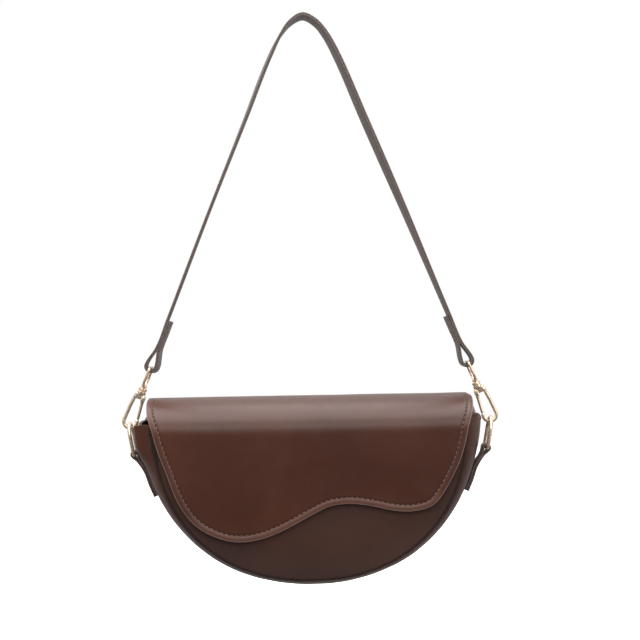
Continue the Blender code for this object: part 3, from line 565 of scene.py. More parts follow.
def piece(name, body, solid, material, replaced=(), marks=None, sharp=50):
    """Object from a solid, with the body it rides on, its material, slot and the nodes it stands for."""
    points, faces = solid
    mesh = bpy.data.meshes.new(name)
    mesh.from_pydata([tuple(point) for point in points], [], faces)
    shape = bmesh.new()
    shape.from_mesh(mesh)
    bmesh.ops.recalc_face_normals(shape, faces=shape.faces)
    shape.to_mesh(mesh)
    shape.free()
    mesh.shade_smooth()
    mesh.set_sharp_from_angle(angle=radians(sharp))
    mesh.materials.append(material)
    for title, values in (marks or {}).items():
        mark = mesh.attributes.new(title, "FLOAT", "POINT")
        mark.data.foreach_set("value", np.array(values, np.float32))
    made = placed(name, mesh)
    if body:
        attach(made, body)
    if replaced:
        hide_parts(*replaced)
    return made


def sewing(name, body, solid):
    """Stitches as one piece, with painted shade where they dive into their holes."""
    ends = [float(abs(place) > 0.8) for place, _ in STITCH_PROFILE]
    holes = [end for end in ends for _ in range(STITCH_SIDES)] + [1.0, 1.0]
    marks = {"painted_shade": holes * (len(solid[0]) // len(holes))}
    return piece(name, body, solid, THREAD, (), marks)


# Outlines of the body


def signed_power(value, power):
    """Power that keeps the sign."""
    return copysign(abs(value) ** power, value)


def panel_point(angle):
    """Point on a panel's outline, from 0 at the right shoulder to 180 degrees at the left."""
    power = 2 / PANEL_FULLNESS_share
    drop = signed_power(sin(angle), power) * PANEL_REACH
    across = PANEL_HALF_WIDTH
    if sin(angle) > 0:
        across *= abs(cos(angle)) ** power
    return Vector((copysign(across, cos(angle)), 0.0, FLAP_TOP - SHOULDER_DROP - drop))


def panel_normal(angle):
    """Outward direction of a panel's outline."""
    if sin(angle) <= 0:
        return Vector((copysign(1.0, cos(angle)), 0.0, 0.0))
    power = PANEL_FULLNESS_share - 1
    point = panel_point(angle)
    drop = FLAP_TOP - SHOULDER_DROP - point.z
    slope_x = signed_power(point.x / PANEL_HALF_WIDTH, power) / PANEL_HALF_WIDTH
    slope_z = -signed_power(drop / PANEL_REACH, power) / PANEL_REACH
    return Vector((slope_x, 0.0, slope_z)).normalized()


def mouth_angle(drop):
    """Angle of the outline at a level below the flap's top."""
    return asin(signed_power((drop - SHOULDER_DROP) / PANEL_REACH, PANEL_FULLNESS_share / 2))


def gusset_point(angle, share):
    """Point on the gusset at a share of its half depth from the middle, in the plain form."""
    end = abs(angle / (pi / 2) - 1)
    swell = (SWELL_BOTTOM + (SWELL_MOUTH - SWELL_BOTTOM) * end**3) * (1 - abs(share) ** 3)
    point = panel_point(angle) + panel_normal(angle) * swell
    point.y = BODY_Y + share * GUSSET_HALF_DEPTH
    return point


def resampled(points, spacing, closed=True):
    """The same line with points this far apart."""
    line = np.array(points, float)
    if closed:
        line = np.vstack([line, line[:1]])
    steps = np.hypot(*np.diff(line, axis=0).T)
    reach = np.concatenate([[0.0], np.cumsum(steps)])
    count = int(round(reach[-1] / spacing))
    wanted = np.linspace(0.0, reach[-1], count + 1)
    if closed:
        wanted = wanted[:-1]
    return np.stack([np.interp(wanted, reach, line[:, 0]), np.interp(wanted, reach, line[:, 1])], 1)


def rounded_line(line, passes):
    """Closed line with its corners eased."""
    for _ in range(passes):
        line = (np.roll(line, 1, 0) + 2 * line + np.roll(line, -1, 0)) / 4
    return line


def turned_left(line):
    """Closed line that runs counter-clockwise."""
    x, y = line.T
    area = np.sum(x * np.roll(y, -1) - np.roll(x, -1) * y)
    return line if area > 0 else line[::-1]


def inward_of(line):
    """Unit directions into a counter-clockwise line."""
    ahead = np.roll(line, -1, 0) - np.roll(line, 1, 0)
    ahead /= np.hypot(*ahead.T)[:, None]
    return np.stack([-ahead[:, 1], ahead[:, 0]], 1)


def is_inside(points, line):
    """Which points lie inside a closed line."""
    inside = np.zeros(len(points), bool)
    for (x1, y1), (x2, y2) in zip(line, np.roll(line, -1, 0)):
        if y1 == y2:
            continue
        crosses = (y1 > points[:, 1]) != (y2 > points[:, 1])
        inside ^= crosses & (points[:, 0] < (x2 - x1) * (points[:, 1] - y1) / (y2 - y1) + x1)
    return inside


def nearest(points, line):
    """Distance of each point from a line's points."""
    return np.array([np.hypot(*(line - point).T).min() for point in points])


def flat_fill(line, insets, spacing):
    """Points, distances from the edge and faces that fill a closed line, ring by ring."""
    line = turned_left(line)
    inward = inward_of(line)
    count = len(line)
    rings = [line + inward * inset for inset in insets]
    faces = band_faces(len(rings), count)
    inner = rings[-1]
    low, high = inner.min(0), inner.max(0)
    grid = []
    for row, y in enumerate(np.arange(low[1], high[1], spacing * 0.87)):
        for x in np.arange(low[0] + spacing / 2 * (row % 2), high[0], spacing):
            grid.append((x, y))
    grid = np.array(grid)
    grid = grid[is_inside(grid, inner)]
    far = nearest(grid, inner)
    grid, far = grid[far > spacing * 0.55], far[far > spacing * 0.55]
    ends = [Vector(point) for point in np.vstack([inner, grid])]
    found = geometry.delaunay_2d_cdt(ends, [], [list(range(count))], 1, 1e-9)
    if len(found[0]) != len(ends):
        raise RuntimeError("the fill lost points")
    base = (len(rings) - 1) * count
    faces += [tuple(index + base for index in side) for side in found[2]]
    points = np.vstack([*rings, grid])
    distance = np.concatenate([np.repeat(insets, count), far + insets[-1]])
    return points, distance, faces, count


def leaf(fill, place, top, bottom):
    """Closed leather leaf over a flat fill: a point for each place, through its thickness."""
    points, distance, faces, count = fill
    total = len(points)
    outer = [place(x, s, top(d, x, s)) for (x, s), d in zip(points, distance)]
    inner = [place(x, s, bottom(d, x, s)) for (x, s), d in zip(points, distance)]
    sides = list(faces) + [tuple(index + total for index in reversed(side)) for side in faces]
    for index in range(count):
        ahead = (index + 1) % count
        sides.append((ahead, index, index + total, ahead + total))
    return outer + inner, sides


def rim_drop(distance, radius):
    """How far a rounded edge falls away at a distance from it."""
    reach = max(radius - distance, 0.0)
    return radius - sqrt(radius**2 - reach**2)


# Flap and back, one sheet that runs up the back, over the arch and down the front

ARCH_HALF = (BACK_Y - FLAP_FRONT_Y) / 2
ARCH_Y = (BACK_Y + FLAP_FRONT_Y) / 2
BACK_STRETCH = 120 * MM
side_view = [(BACK_Y, HINGE_Z - BACK_STRETCH), (BACK_Y, FLAP_TOP - ARCH_RISE)]
for angle in turns(96, pi)[1:]:
    side_view.append((ARCH_Y + ARCH_HALF * cos(angle), FLAP_TOP - ARCH_RISE * (1 - sin(angle))))
side_view.append((FLAP_FRONT_Y, FLAP_TOP - FLAP_DROP * 1.2))
side_view = resampled(side_view, 0.5 * MM, closed=False)
side_reach = np.concatenate([[0.0], np.cumsum(np.hypot(*np.diff(side_view, axis=0).T))]) - BACK_STRETCH
side_along = np.gradient(side_view, side_reach, axis=0)
side_along /= np.hypot(*side_along.T)[:, None]
TOP_REACH = side_reach[np.argmax(side_view[:, 1])]
front_part = side_reach >= TOP_REACH
front_drops = FLAP_TOP - side_view[front_part][:, 1]
front_reaches = side_reach[front_part]


def flap_reach(drop):
    """Distance along the sheet from the hinge to a drop below the top, on the front side."""
    return float(np.interp(drop, front_drops, front_reaches))


def sheet_view(reach):
    """Depth, height and direction of the sheet at a distance from the hinge."""
    y, z = (np.interp(reach, side_reach, side_view[:, k]) for k in (0, 1))
    way = Vector((0.0, *(np.interp(reach, side_reach, side_along[:, k]) for k in (0, 1)))).normalized()
    return y, z, way


def sheet_place(x, reach, depth):
    """Point of the sheet at a depth under its outer face. Its right corner droops at the arch's end."""
    y, z, way = sheet_view(reach)
    normal = Vector((0.0, way.z, -way.y))
    arched = max(normal.z, 0.0) ** 2
    droop = 1.6 * MM * smoothstep(x, FLAP_HALF_WIDTH - 5 * MM, FLAP_HALF_WIDTH) ** 2 * arched
    return Vector((x * (1 + 0.034 * arched), y - normal.y * depth, z - normal.z * depth - droop))


def smooth_knots(knots, steps):
    """Smooth curve through flat or solid points."""
    knots = [Vector(knot) for knot in knots]
    knots = [knots[0] * 2 - knots[1], *knots, knots[-1] * 2 - knots[-2]]
    path = []
    for before, start, end, after in zip(knots, knots[1:], knots[2:], knots[3:]):
        reach = (end - start).length
        leave = (start - before) / max((start - before).length, GAP) + (end - start) / reach
        arrive = (end - start) / reach + (after - end) / max((after - end).length, GAP)
        for step in range(steps):
            t = step / steps
            path.append(
                start * (2 * t**3 - 3 * t**2 + 1) + end * (3 * t**2 - 2 * t**3)
                + leave * (reach / 2 * (t**3 - 2 * t**2 + t)) + arrive * (reach / 2 * (t**3 - t**2))
            )
    path.append(knots[-2])
    return path


def flap_edge():
    """Edge of the flap as across and reach, from the right hinge round to the left one."""
    knots = [(FLAP_HALF_WIDTH, 0.0)]
    knots += [(share_x * FLAP_HALF_WIDTH, share_z * FLAP_DROP) for share_x, share_z in FLAP_EDGE_shares]
    knots.append((-FLAP_HALF_WIDTH, 0.0))
    edge = [(point.x, flap_reach(max(point.y, 0.0))) for point in smooth_knots(knots, 8)]
    return [(FLAP_HALF_WIDTH, 6 * MM), *edge, (-FLAP_HALF_WIDTH, 6 * MM)]


def panel_edge():
    """Edge of the back panel as across and reach, from the left mouth corner to the right one."""
    start = mouth_angle(MOUTH_DROP)
    angles = np.linspace(pi - start, start, 160)
    return [(panel_point(angle).x, panel_point(angle).z - HINGE_Z) for angle in angles]


FLAP_INSETS = np.array((0.0, 0.12, 0.35, 0.7, 1.3, 2.1, 2.9, 3.5, 3.9, 4.2, 4.5, 4.9, 5.6, 6.8, 8.6)) * MM
PANEL_INSETS = np.array((0.0, 0.15, 0.4, 0.8, 1.3, 2.0)) * MM
LINING_INSETS = np.array((0.0, 0.3, 0.8, 1.6)) * MM
FILL_SPACING = 3.2 * MM
EDGE_SPACING = 1.5 * MM


def flap_top(distance, x, reach):
    """Relief of the outer face: rounded edge, raised border, stitch groove and soft fullness."""
    sewn = smoothstep(reach, TOP_REACH + 2 * MM, TOP_REACH + 12 * MM)
    back = 1 - smoothstep(reach, -6 * MM, 4 * MM)
    depth = rim_drop(distance, 0.55 * MM) * (1 - back) + rim_drop(distance, 1.1 * MM) * back
    depth -= 0.24 * MM * sewn * sin(pi * min(max((distance - 0.2 * MM) / (3.7 * MM), 0.0), 1.0))
    depth += 0.42 * MM * sewn * bump_at(distance, STITCH_IN, 0.55 * MM)
    front = smoothstep(reach, TOP_REACH + 30 * MM, TOP_REACH + 60 * MM)
    depth -= (0.9 * front + 0.5 * back) * MM * smoothstep(distance, 5 * MM, 40 * MM)
    depth -= 0.28 * MM * ripple(x, reach, 46 * MM, 1.7) * smoothstep(distance, 2 * MM, 14 * MM)
    depth -= 0.10 * MM * ripple(x, reach, 15 * MM, 5.1) * smoothstep(distance, 2 * MM, 8 * MM)
    return depth


def sunk_at(reach):
    """How far the stitches have sunk into the flap's front, from 0 to 1."""
    return smoothstep(reach, TOP_REACH + 42 * MM, TOP_REACH + 58 * MM)


def flap_skin(edge):
    """Outer sheet over back and flap, with a painted highlight on its border, faint at the sides and
    strongest along the lower wave, and painted shade in its stitch groove.
    """
    line = rounded_line(resampled(edge + panel_edge(), EDGE_SPACING), 2)
    fill = flat_fill(line, FLAP_INSETS, FILL_SPACING)
    border, groove = [], []
    for (x, s), d in zip(fill[0], fill[1]):
        front = smoothstep(s, TOP_REACH, TOP_REACH + 10 * MM)
        lobe = flap_reach(FLAP_DROP * (0.74 if x > -20 * MM else 0.9))
        low = smoothstep(s, lobe - 12 * MM, lobe)
        # Painted highlight on the border, as top light would catch it: 0.14 at the sides, up to 0.64
        # towards the lowest reach of the wave
        border.append((0.14 + 0.50 * low) * front * smoothstep(4.0 * MM - d, 0.0, 0.8 * MM))
        # Painted shade in the stitch groove, less where the stitches have sunk in
        groove.append(0.6 * front * (1 - 0.75 * sunk_at(s)) * bump_at(d, STITCH_IN, 0.5 * MM))
    marks = {"edge": border * 2, "painted_shade": groove * 2}
    solid = leaf(fill, sheet_place, flap_top, lambda d, x, s: SKIN)
    return piece("back_and_flap", None, solid, LEATHER, ("back_panel", "flap_outer"), marks)


def flap_inner(edge):
    """Inner face of the flap, down from just above the hinge."""
    line = resampled([(x, max(s, 1 * MM)) for x, s in edge], EDGE_SPACING)
    line = turned_left(rounded_line(line, 8))
    fill = flat_fill(line + inward_of(line) * 0.35 * MM, LINING_INSETS, 3.6 * MM)
    solid = leaf(
        fill, sheet_place, lambda d, x, s: SKIN + 0.1 * MM + rim_drop(d, 0.3 * MM),
        lambda d, x, s: FLAP_THICK - rim_drop(d, 0.4 * MM) + 0.1 * MM * ripple(x, s, 20 * MM, 8.0)
    )
    return piece("flap_inner", None, solid, LINING, ("flap_lining",))


def flap_trim(edge):
    """Painted edge of the flap, coloured as a painted highlight along it, and its stitching."""
    line = resampled(edge, 1.2 * MM, closed=False)
    ahead = np.gradient(line, axis=0)
    ahead /= np.hypot(*ahead.T)[:, None]
    section = [(0.55 * cos(turn), 1.2 * sin(turn)) for turn in np.linspace(-1.5, 1.5, 9)]
    section = [(-0.5, -1.15), *section, (-0.5, 1.15)]
    path, widths, normals, sewn_path, sewn_normals = [], [], [], [], []
    for (x, reach), (ahead_x, ahead_reach) in zip(line, ahead):
        _, _, way = sheet_view(reach)
        normal = Vector((0.0, way.z, -way.y))
        path.append(sheet_place(x, reach, PAINT_DEPTH))
        widths.append((Vector((ahead_reach, 0.0, 0.0)) - way * ahead_x) * MM)
        normals.append(normal * MM)
        sewn_reach = reach + ahead_x * STITCH_IN
        if sewn_reach > TOP_REACH + 8 * MM:
            depth = (0.10 + 0.26 * sunk_at(sewn_reach)) * MM
            sewn_path.append(sheet_place(x - ahead_reach * STITCH_IN, sewn_reach, depth))
            sewn_normals.append(normal)
    paint = piece("flap_edge_paint", None, ribbon(path, section, widths, normals), EDGE_PAINT_AND_HIGHLIGHT)
    return paint, sewing("flap_stitches", None, stitches(sewn_path, sewn_normals, *FLAP_STITCH))


def build_flap():
    """Back and flap: outer sheet, inner face, painted edge and stitches, each with its transform baked."""
    edge = flap_edge()
    outer, inner = flap_skin(edge), flap_inner(edge)
    paint, sewn = flap_trim(edge)
    for made, depth in ((outer, 0.0), (inner, 1.9 * MM), (paint, PAINT_DEPTH), (sewn, 0.0)):
        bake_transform(made)


def build_front():
    """Softly full front skin with its edge turned in where it is sewn to the gusset, with painted shade: a
    little all over, more towards the bottom, and dark along that edge.
    """
    start = mouth_angle(FRONT_DROP)
    angles = np.linspace(start, pi - start, 160)
    line = resampled([(panel_point(angle).x, panel_point(angle).z) for angle in angles], 1.5 * MM)
    fill = flat_fill(rounded_line(line, 8), PANEL_INSETS, 3.2 * MM)

    def top(distance, x, z):
        depth = rim_drop(distance, 1.1 * MM)
        full = smoothstep(distance, 2 * MM, 34 * MM)
        snap = hypot(x, z - SNAP_Z)
        depth -= 0.8 * MM * full * (1 - 0.9 * bump_at(snap, 0.0, 16 * MM))
        depth -= 0.22 * MM * ripple(x, z, 42 * MM, 3.3) * full
        return depth

    solid = leaf(fill, lambda x, z, depth: Vector((x, FRONT_Y + depth, z)), top, lambda d, x, z: SKIN)
    painted_shade = []
    for (x, z), d in zip(fill[0], fill[1]):
        # Painted shade: 0.18 all over, more within 28 mm of the edge in the lowest 60 mm, and 0.85 along
        # the turned-in edge
        low = smoothstep(PANEL_LOW + 60 * MM - z, 0.0, 60 * MM)
        shade = 0.18 + 0.28 * low * smoothstep(28 * MM - d, 0.0, 28 * MM)
        painted_shade.append(max(0.85 * smoothstep(2.3 * MM - d, 0.0, 1.2 * MM), shade))
    piece("front_skin", "bag", solid, LEATHER, ("front_panel",), {"painted_shade": painted_shade * 2})


# Gusset, mouth bindings and tabs


def gusset_relief(angle, share):
    """Small hills of the soft gusset: broad sag, puckers by the seams and at the tabs."""
    end = abs(angle / (pi / 2) - 1)
    x = angle * PANEL_HALF_WIDTH
    y = share * GUSSET_HALF_DEPTH
    middle = 1 - share * share
    calm = smoothstep(1.02 - end, 0.0, 0.12)
    relief = 0.55 * MM * ripple(x, y, 34 * MM, 2.2) * middle * calm
    relief += 0.22 * MM * ripple(x, y * 0.4, 9 * MM, 7.7) * middle * calm
    relief += 0.5 * MM * ripple(x, 0.0, 6 * MM, 4.4) * bump_at(abs(share), 0.93, 0.06)
    return relief - 1.1 * MM * bump_at(abs(share), 1.0, 0.06) * smoothstep(1 - end, 0.0, 0.05)


ROW_shares = [sin(pi / 2 * (row / 20 - 1)) for row in range(41)]
GUSSET_STEPS = 200


def gusset_grid(lift, span=1.0):
    """Grid of points over a share of the gusset's depth, at a height over its outer face.

    In front the left end sags and bulges a little and the right end stands up. The edge rises
    only away from the middle, where the hooks pass.
    """
    rows = []
    for row_share in ROW_shares:
        share = span * row_share
        fallen = min(max(share, 0.0) / MOUTH_FALL_share, 1.0) ** 4
        ahead = smoothstep(-share, 0.36, 0.74) * (1 - 0.6 * smoothstep(-share, 0.84, 1.0))
        behind = smoothstep(share, 0.36, 0.84) * (1 - 0.7 * smoothstep(share, 0.86, 0.96))
        drop = FRONT_DROP + (MOUTH_DROP - FRONT_DROP) * fallen - 11.0 * MM * behind
        start = mouth_angle(drop - 3.6 * MM * ahead - 6.5 * MM * behind)
        end = pi - mouth_angle(drop + 2.2 * MM * bump_at(share, -0.55, 0.30))
        line = []
        for column in range(GUSSET_STEPS + 1):
            angle = start + (end - start) * column / GUSSET_STEPS
            rise = lift + gusset_relief(angle, share)
            rise += 6.5 * MM * bump_at(share, -0.72, 0.20) * bump_at(angle, end, 0.17)
            rise += 3.0 * MM * bump_at(share, -0.45, 0.35) * bump_at(angle, end - 0.12, 0.08)
            line.append(gusset_point(angle, share) + panel_normal(angle) * rise)
        rows.append(line)
    return rows
def build_gusset():
    """Gusset skin, its lining and the leather binding over each mouth edge."""
    outer = gusset_grid(0.0)
    # Painted shade along both edges of the gusset, in the groove where it is sewn to the panels
    painted_shade = [0.9 * smoothstep(abs(share), 0.935, 0.975) for share in ROW_shares for _ in outer[0]]
    skin = slab(outer, gusset_grid(-SKIN))
    piece("gusset_skin", "bag", skin, LEATHER, ("gusset",), {"painted_shade": painted_shade * 2})
    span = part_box("gusset_lining")[1].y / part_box("gusset")[1].y
    lining = slab(gusset_grid(-SKIN - GAP, span), gusset_grid(-SKIN - GAP - LINING_THICK, span))
    piece("gusset_cloth", "bag", lining, LINING, ("gusset_lining",))
    rows = outer[2:-2]
    for side, next_to, sign, suffix in ((0, 1, 1.0, "right"), (-1, -2, -1.0, "left")):
        downs = [(row[next_to] - row[side]).normalized() for row in rows]
        aside = Vector((sign, 0.0, 0.0))
        outs = [(aside - down * aside.dot(down)).normalized() for down in downs]
        shifts = [down * (0.9 * MM) - out * (1.25 * MM) for out, down in zip(outs, downs)]
        middle = [row[side] + shift for row, shift in zip(rows, shifts)]
        binding(f"side_binding_{suffix}", middle, outs, downs, 2.1 * MM, 2.6 * MM, sewn=False)


def binding(name, edge, outs, downs, thick, drop, sewn=True):
    """Strip of leather folded over an edge, with its two rows of stitches."""
    inner = thick / 2
    half = inner + BINDING_SKIN
    section = [(half, drop), (half, 1 * MM)]
    section += [(half * cos(turn), half - half * sin(turn)) for turn in turns(8, pi)]
    section += [(-half, 1 * MM), (-half, drop), (-inner, drop), (-inner, 1 * MM)]
    section += [(-inner * cos(turn), half - inner * sin(turn)) for turn in turns(8, pi)]
    section += [(inner, 1 * MM), (inner, drop)]
    rings = []
    for point, out, down in zip(edge, outs, downs):
        top = point - down * half
        rings.append([top + out * u + down * (v + 0.4 * MM) for u, v in section])
    piece(name, "bag", loft(rings), LEATHER, sharp=60)
    if not sewn:
        return
    below = drop - 2.0 * MM - half
    rows = []
    for sign in (1, -1):
        aside = sign * (half - 0.05 * MM)
        path = [point + out * aside + down * below for point, out, down in zip(edge, outs, downs)]
        rows.append(stitches(path, [out * sign for out in outs], *BINDING_STITCH))
    sewing(f"{name}_stitches", "bag", merge(*rows))


def build_front_binding():
    """Binding along the front's mouth edge."""
    lining_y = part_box("front_lining")[1].y
    thick = lining_y - FRONT_Y
    width = PANEL_HALF_WIDTH - 2.5 * MM
    xs = np.linspace(-width, width, 60)
    edge = [Vector((x, FRONT_Y + thick / 2, FLAP_TOP - FRONT_DROP + 0.3 * MM)) for x in xs]
    outs = [Vector((0.0, -1.0, 0.0))] * len(edge)
    binding("front_binding", edge, outs, [Vector((0.0, 0.0, -1.0))] * len(edge), thick - 0.5 * MM, 9 * MM)


def tab_path():
    """Middle of the right tab: up its inner leg, round the ring's bar and down the outer leg."""
    layer = (TAB_SKIN + GAP) / 2
    inner_leg, outer_leg = [], []
    for share in (TAB_END_share, (TAB_END_share + TAB_TOP_share) / 2, TAB_TOP_share):
        angle = pi / 2 * share
        out = panel_normal(angle)
        point = gusset_point(angle, 0.0) + out * (GAP + TAB_SKIN / 2)
        point.y = 0.0
        inner_leg.append(point)
        outer_leg.append(point + out * (layer * 2))
    way = (RING_BAR - (inner_leg[-1] + outer_leg[-1]) / 2).normalized()
    across = Vector((-way.z, 0.0, way.x))
    radius = RING_WIRE + GAP + TAB_SKIN / 2
    close = RING_BAR - way * TAB_SQUEEZE
    turn = [close + across * layer]
    for step in range(-5, 6):
        angle = TAB_WRAP / 10 * step
        turn.append(RING_BAR + (way * cos(angle) - across * sin(angle)) * radius)
    turn.append(close - across * layer)
    return smooth_knots([*inner_leg, *turn, *reversed(outer_leg)], 5)


def planar_frames(path):
    """Along and through directions of a path in the picture plane."""
    alongs = []
    for index in range(len(path)):
        before = path[max(index - 1, 0)]
        after = path[min(index + 1, len(path) - 1)]
        alongs.append((after - before).normalized())
    return alongs, [Vector((along.z, 0.0, -along.x)) for along in alongs]


def worn_sides(section, width, count):
    """Wear along the cut sides of a ribbon, at each point of its rings and caps."""
    return [0.9 if abs(u) > width / 2 - 0.6 * MM else 0.0 for u, _ in section] * count + [0.9, 0.9]


def build_tabs():
    """Leather tab round each ring, sewn to the gusset with a box of stitches."""
    path = tab_path()
    _, throughs = planar_frames(path)
    section = rounded_section(TAB_WIDTH, TAB_SKIN, RIBBON_CORNER)
    body = ribbon(path, section, [Vector((0.0, 1.0, 0.0))] * len(path), throughs)
    marks = {"edge": worn_sides(section, TAB_WIDTH, len(path))}
    outer_leg = path[-TAB_SEWN_POINTS:]
    normals = [-through for through in throughs[-TAB_SEWN_POINTS:]]
    face = [point + normal * (TAB_SKIN / 2 - 0.05 * MM) for point, normal in zip(outer_leg, normals)]
    insets = [Vector((0.0, TAB_WIDTH / 2 - 2.2 * MM, 0.0))] * len(face)
    sewn = sewn_box(face, normals, insets, slice(0, -1))
    for (suffix, solid), (_, thread_solid) in zip(both_sides(body), both_sides(sewn)):
        piece(f"tab_skin_{suffix}", "bag", solid, TAB_LEATHER, (f"tab_{suffix}",), marks)
        sewing(f"tab_stitches_{suffix}", "bag", thread_solid)


# Strap


def clasp_place(across, down, y=0.0):
    """Point across, down and in front of the right clasp from its eye bar."""
    return EYE_BAR + CLASP_OUT * across + CLASP_ALONG * down + Vector((0.0, y, 0.0))


def strap_path():
    """Middle of the strap from its right folded end over the top to its left folded end."""
    leg = (STRAP_THICK + GAP) / 2
    bend_middle = EYE_WIRE + GAP + STRAP_THICK / 2 - STRAP_LOOP
    fold = [clasp_place(-leg, -rise) for rise in (STRAP_FOLD, (STRAP_FOLD + STRAP_CLOSE) / 2, STRAP_CLOSE)]
    loop = []
    for turn in range(-4, 5):
        angle = pi / 8 * turn
        loop.append(clasp_place(sin(angle) * STRAP_LOOP, bend_middle + cos(angle) * STRAP_LOOP))
    join = clasp_place(leg, -STRAP_FOLD)
    top = STRAP_THICK / 2
    fall = join.z - top
    side = [Vector((join.x * across, 0.0, top + fall * down)) for across, down in STRAP_SIDE_shares]
    half = [*fold, *loop, clasp_place(leg, -STRAP_CLOSE), join, *reversed(side)]
    other = [Vector((-point.x, 0.0, point.z)) for point in reversed(half)]
    return smooth_knots([*half, Vector((0.0, 0.0, top)), *other], 10)


def build_strap():
    """Two bonded layers with a soft twist, folded round the eyes and sewn."""
    path = strap_path()
    alongs, throughs = planar_frames(path)
    reach = reaches(path)
    twists = np.interp(np.array(reach) / reach[-1], *np.array(STRAP_TWIST).T)
    twists = np.convolve(np.pad(twists, 6, "edge"), np.ones(13) / 13, "valid")
    widths, outs = [], []
    for along, through, twist in zip(alongs, throughs, twists):
        turn = Matrix.Rotation(radians(twist), 3, along)
        widths.append(turn @ Vector((0.0, 1.0, 0.0)))
        outs.append(turn @ through)
    section = rounded_section(STRAP_WIDTH, STRAP_LAYER, RIBBON_CORNER)
    marks = {"edge": worn_sides(section, STRAP_WIDTH, len(path))}
    layers = (("strap_skin", "strap_outer", 0.62 * MM), ("strap_backing", "strap_lining", -0.62 * MM))
    for name, replaced, offset in layers:
        middle = [point + out * offset for point, out in zip(path, outs)]
        solid = ribbon(middle, section, widths, outs)
        piece(name, "strap", solid, STRAP_LEATHER, (replaced,), marks)
    face = [point + out * (1.22 * MM) for point, out in zip(path, outs)]
    insets = [width * (STRAP_WIDTH / 2 - 2.4 * MM) for width in widths]
    for suffix, fars in (("right", reach), ("left", [reach[-1] - far for far in reach])):
        places = [index for index, far in enumerate(fars) if far < STRAP_FOLD - STRAP_CLOSE - 1 * MM]
        chosen = [[values[index] for index in places] for values in (face, outs, insets)]
        sewing(f"strap_stitches_{suffix}", "strap", sewn_box(*chosen, slice(1, None)))


# Fittings


# Turned profiles: radius, and distance along the axis or below the face
POST_PROFILE = in_mm((
    (1.0, 14.2), (2.2, 14.6), (2.4, 15.6), (1.9, 16.2), (1.2, 16.5), (1.2, 18.0), (0.6, 18.2),
))
COLLAR_PROFILE = in_mm((
    (1.4, 16.75), (2.7, 16.7), (3.25, 17.0), (3.4, 17.5), (3.4, 18.4), (2.95, 18.8), (2.95, 19.2),
    (3.4, 19.6), (3.5, 20.6), (3.3, 21.6), (2.8, 22.4),
))
YOKE_LEVELS = in_mm((         # half width, half depth and drop below the yoke's top
    (3.0, 2.5, -0.7), (3.6, 2.65, -0.1), (4.2, 2.6, 0.7), (4.6, 2.5, 1.7), (4.7, 2.4, 2.8),
    (4.6, 2.2, 3.6), (4.0, 1.8, 4.1),
))
EAR_OUTLINE = (
    (0.0, 1.0), (1.3, 1.0), (1.5, 4.2), (1.1, 5.6), (0.0, 6.3), (-1.1, 5.6), (-1.5, 4.2), (-1.3, 1.0),
)
EAR_LAYERS = ((-0.5, 0.85), (-0.35, 1.0), (0.35, 1.0), (0.5, 0.85))      # depth and share of the outline
EAR_MIDDLE = 3.6
GATE_HEAD = in_mm(((0.7, -1.2), (1.35, -1.0), (1.35, 1.0), (0.7, 1.2)))
CUP_FACE = in_mm(((4.9, 0.0), (4.5, 0.3), (4.5, 1.3), (1.0, 1.4)))
STUD_FACE = in_mm((
    (1.0, 0.0), (2.2, 0.05), (2.5, 0.35), (2.5, 1.0), (2.9, 1.1), (7.9, 1.1), (8.4, 1.4),
    (8.5, 1.9), (2.0, 1.95),
))


def swivel_eye():
    """Right eye: a loop with rounded shoulders, and the post that the hook turns on."""
    corner = EYE_WIRE * 2
    arc = [(sin(angle) * corner, cos(angle) * corner) for angle in turns(4)]
    knots = [(0.0, 0.0), *((EYE_HALF - corner + u, v - corner) for u, v in arc)]
    shoulder = EYE_HEIGHT - EYE_HALF * 0.45
    knots += [(EYE_HALF, -shoulder), (EYE_HALF * 0.86, -(shoulder + EYE_HEIGHT) / 2)]
    knots += [(EYE_HALF * 0.55, -EYE_HEIGHT), (0.0, -EYE_HEIGHT)]
    half = smooth_knots([(y, z, 0.0) for y, z in knots], 5)
    loop = [clasp_place(0.0, -point.y, point.x) for point in half]
    loop += [clasp_place(0.0, -point.y, -point.x) for point in reversed(half[1:-1])]
    return merge(tube(loop, EYE_WIRE, 16, closed=True), lathe(POST_PROFILE, EYE_BAR, CLASP_ALONG))


def yoke_solid():
    """Block below the right collar, wider towards the gate."""
    rings = []
    for wide, deep, drop in YOKE_LEVELS:
        ring = []
        for turn in turns(28, 2 * pi)[:-1]:
            u = signed_power(cos(turn), 0.6) * wide + 0.4 * MM
            ring.append(clasp_place(u, YOKE_TOP + drop, signed_power(sin(turn), 0.6) * deep))
        rings.append(ring)
    return loft(rings)


def ear_solid(y):
    """Flat ear that holds one end of the right gate's pin."""
    rings = []
    for depth, wide in EAR_LAYERS:
        ring = [(u * wide * MM, (EAR_MIDDLE + (v - EAR_MIDDLE) * wide) * MM) for u, v in EAR_OUTLINE]
        rings.append([clasp_place(u - GATE_SHOULDER, YOKE_TOP + v, (y + depth) * MM) for u, v in ring])
    return loft(rings)


def hook_solid():
    """Right hook: collar, yoke, bent rod and the gate's two ears."""
    bend = [(HOOK_SHOULDER, YOKE_TOP + 2 * MM)]
    bend.append(((HOOK_SHOULDER + HOOK_SPAN) / 2 + 0.3 * MM, (YOKE_TOP + HOOK_BEND) / 2))
    bend += [(HOOK_SPAN * cos(turn), HOOK_BEND + HOOK_SPAN * sin(turn)) for turn in turns(16, pi)]
    bend.append((TIP_RISE * sin(GATE_SLANT) - HOOK_SPAN, HOOK_BEND - TIP_RISE * cos(GATE_SLANT)))
    rod = rounded_rod([clasp_place(u, down) for u, down in bend], HOOK_WIRE, 16)
    collar = lathe(COLLAR_PROFILE, EYE_BAR, CLASP_ALONG)
    return merge(collar, yoke_solid(), rod, ear_solid(-2.0), ear_solid(2.0))


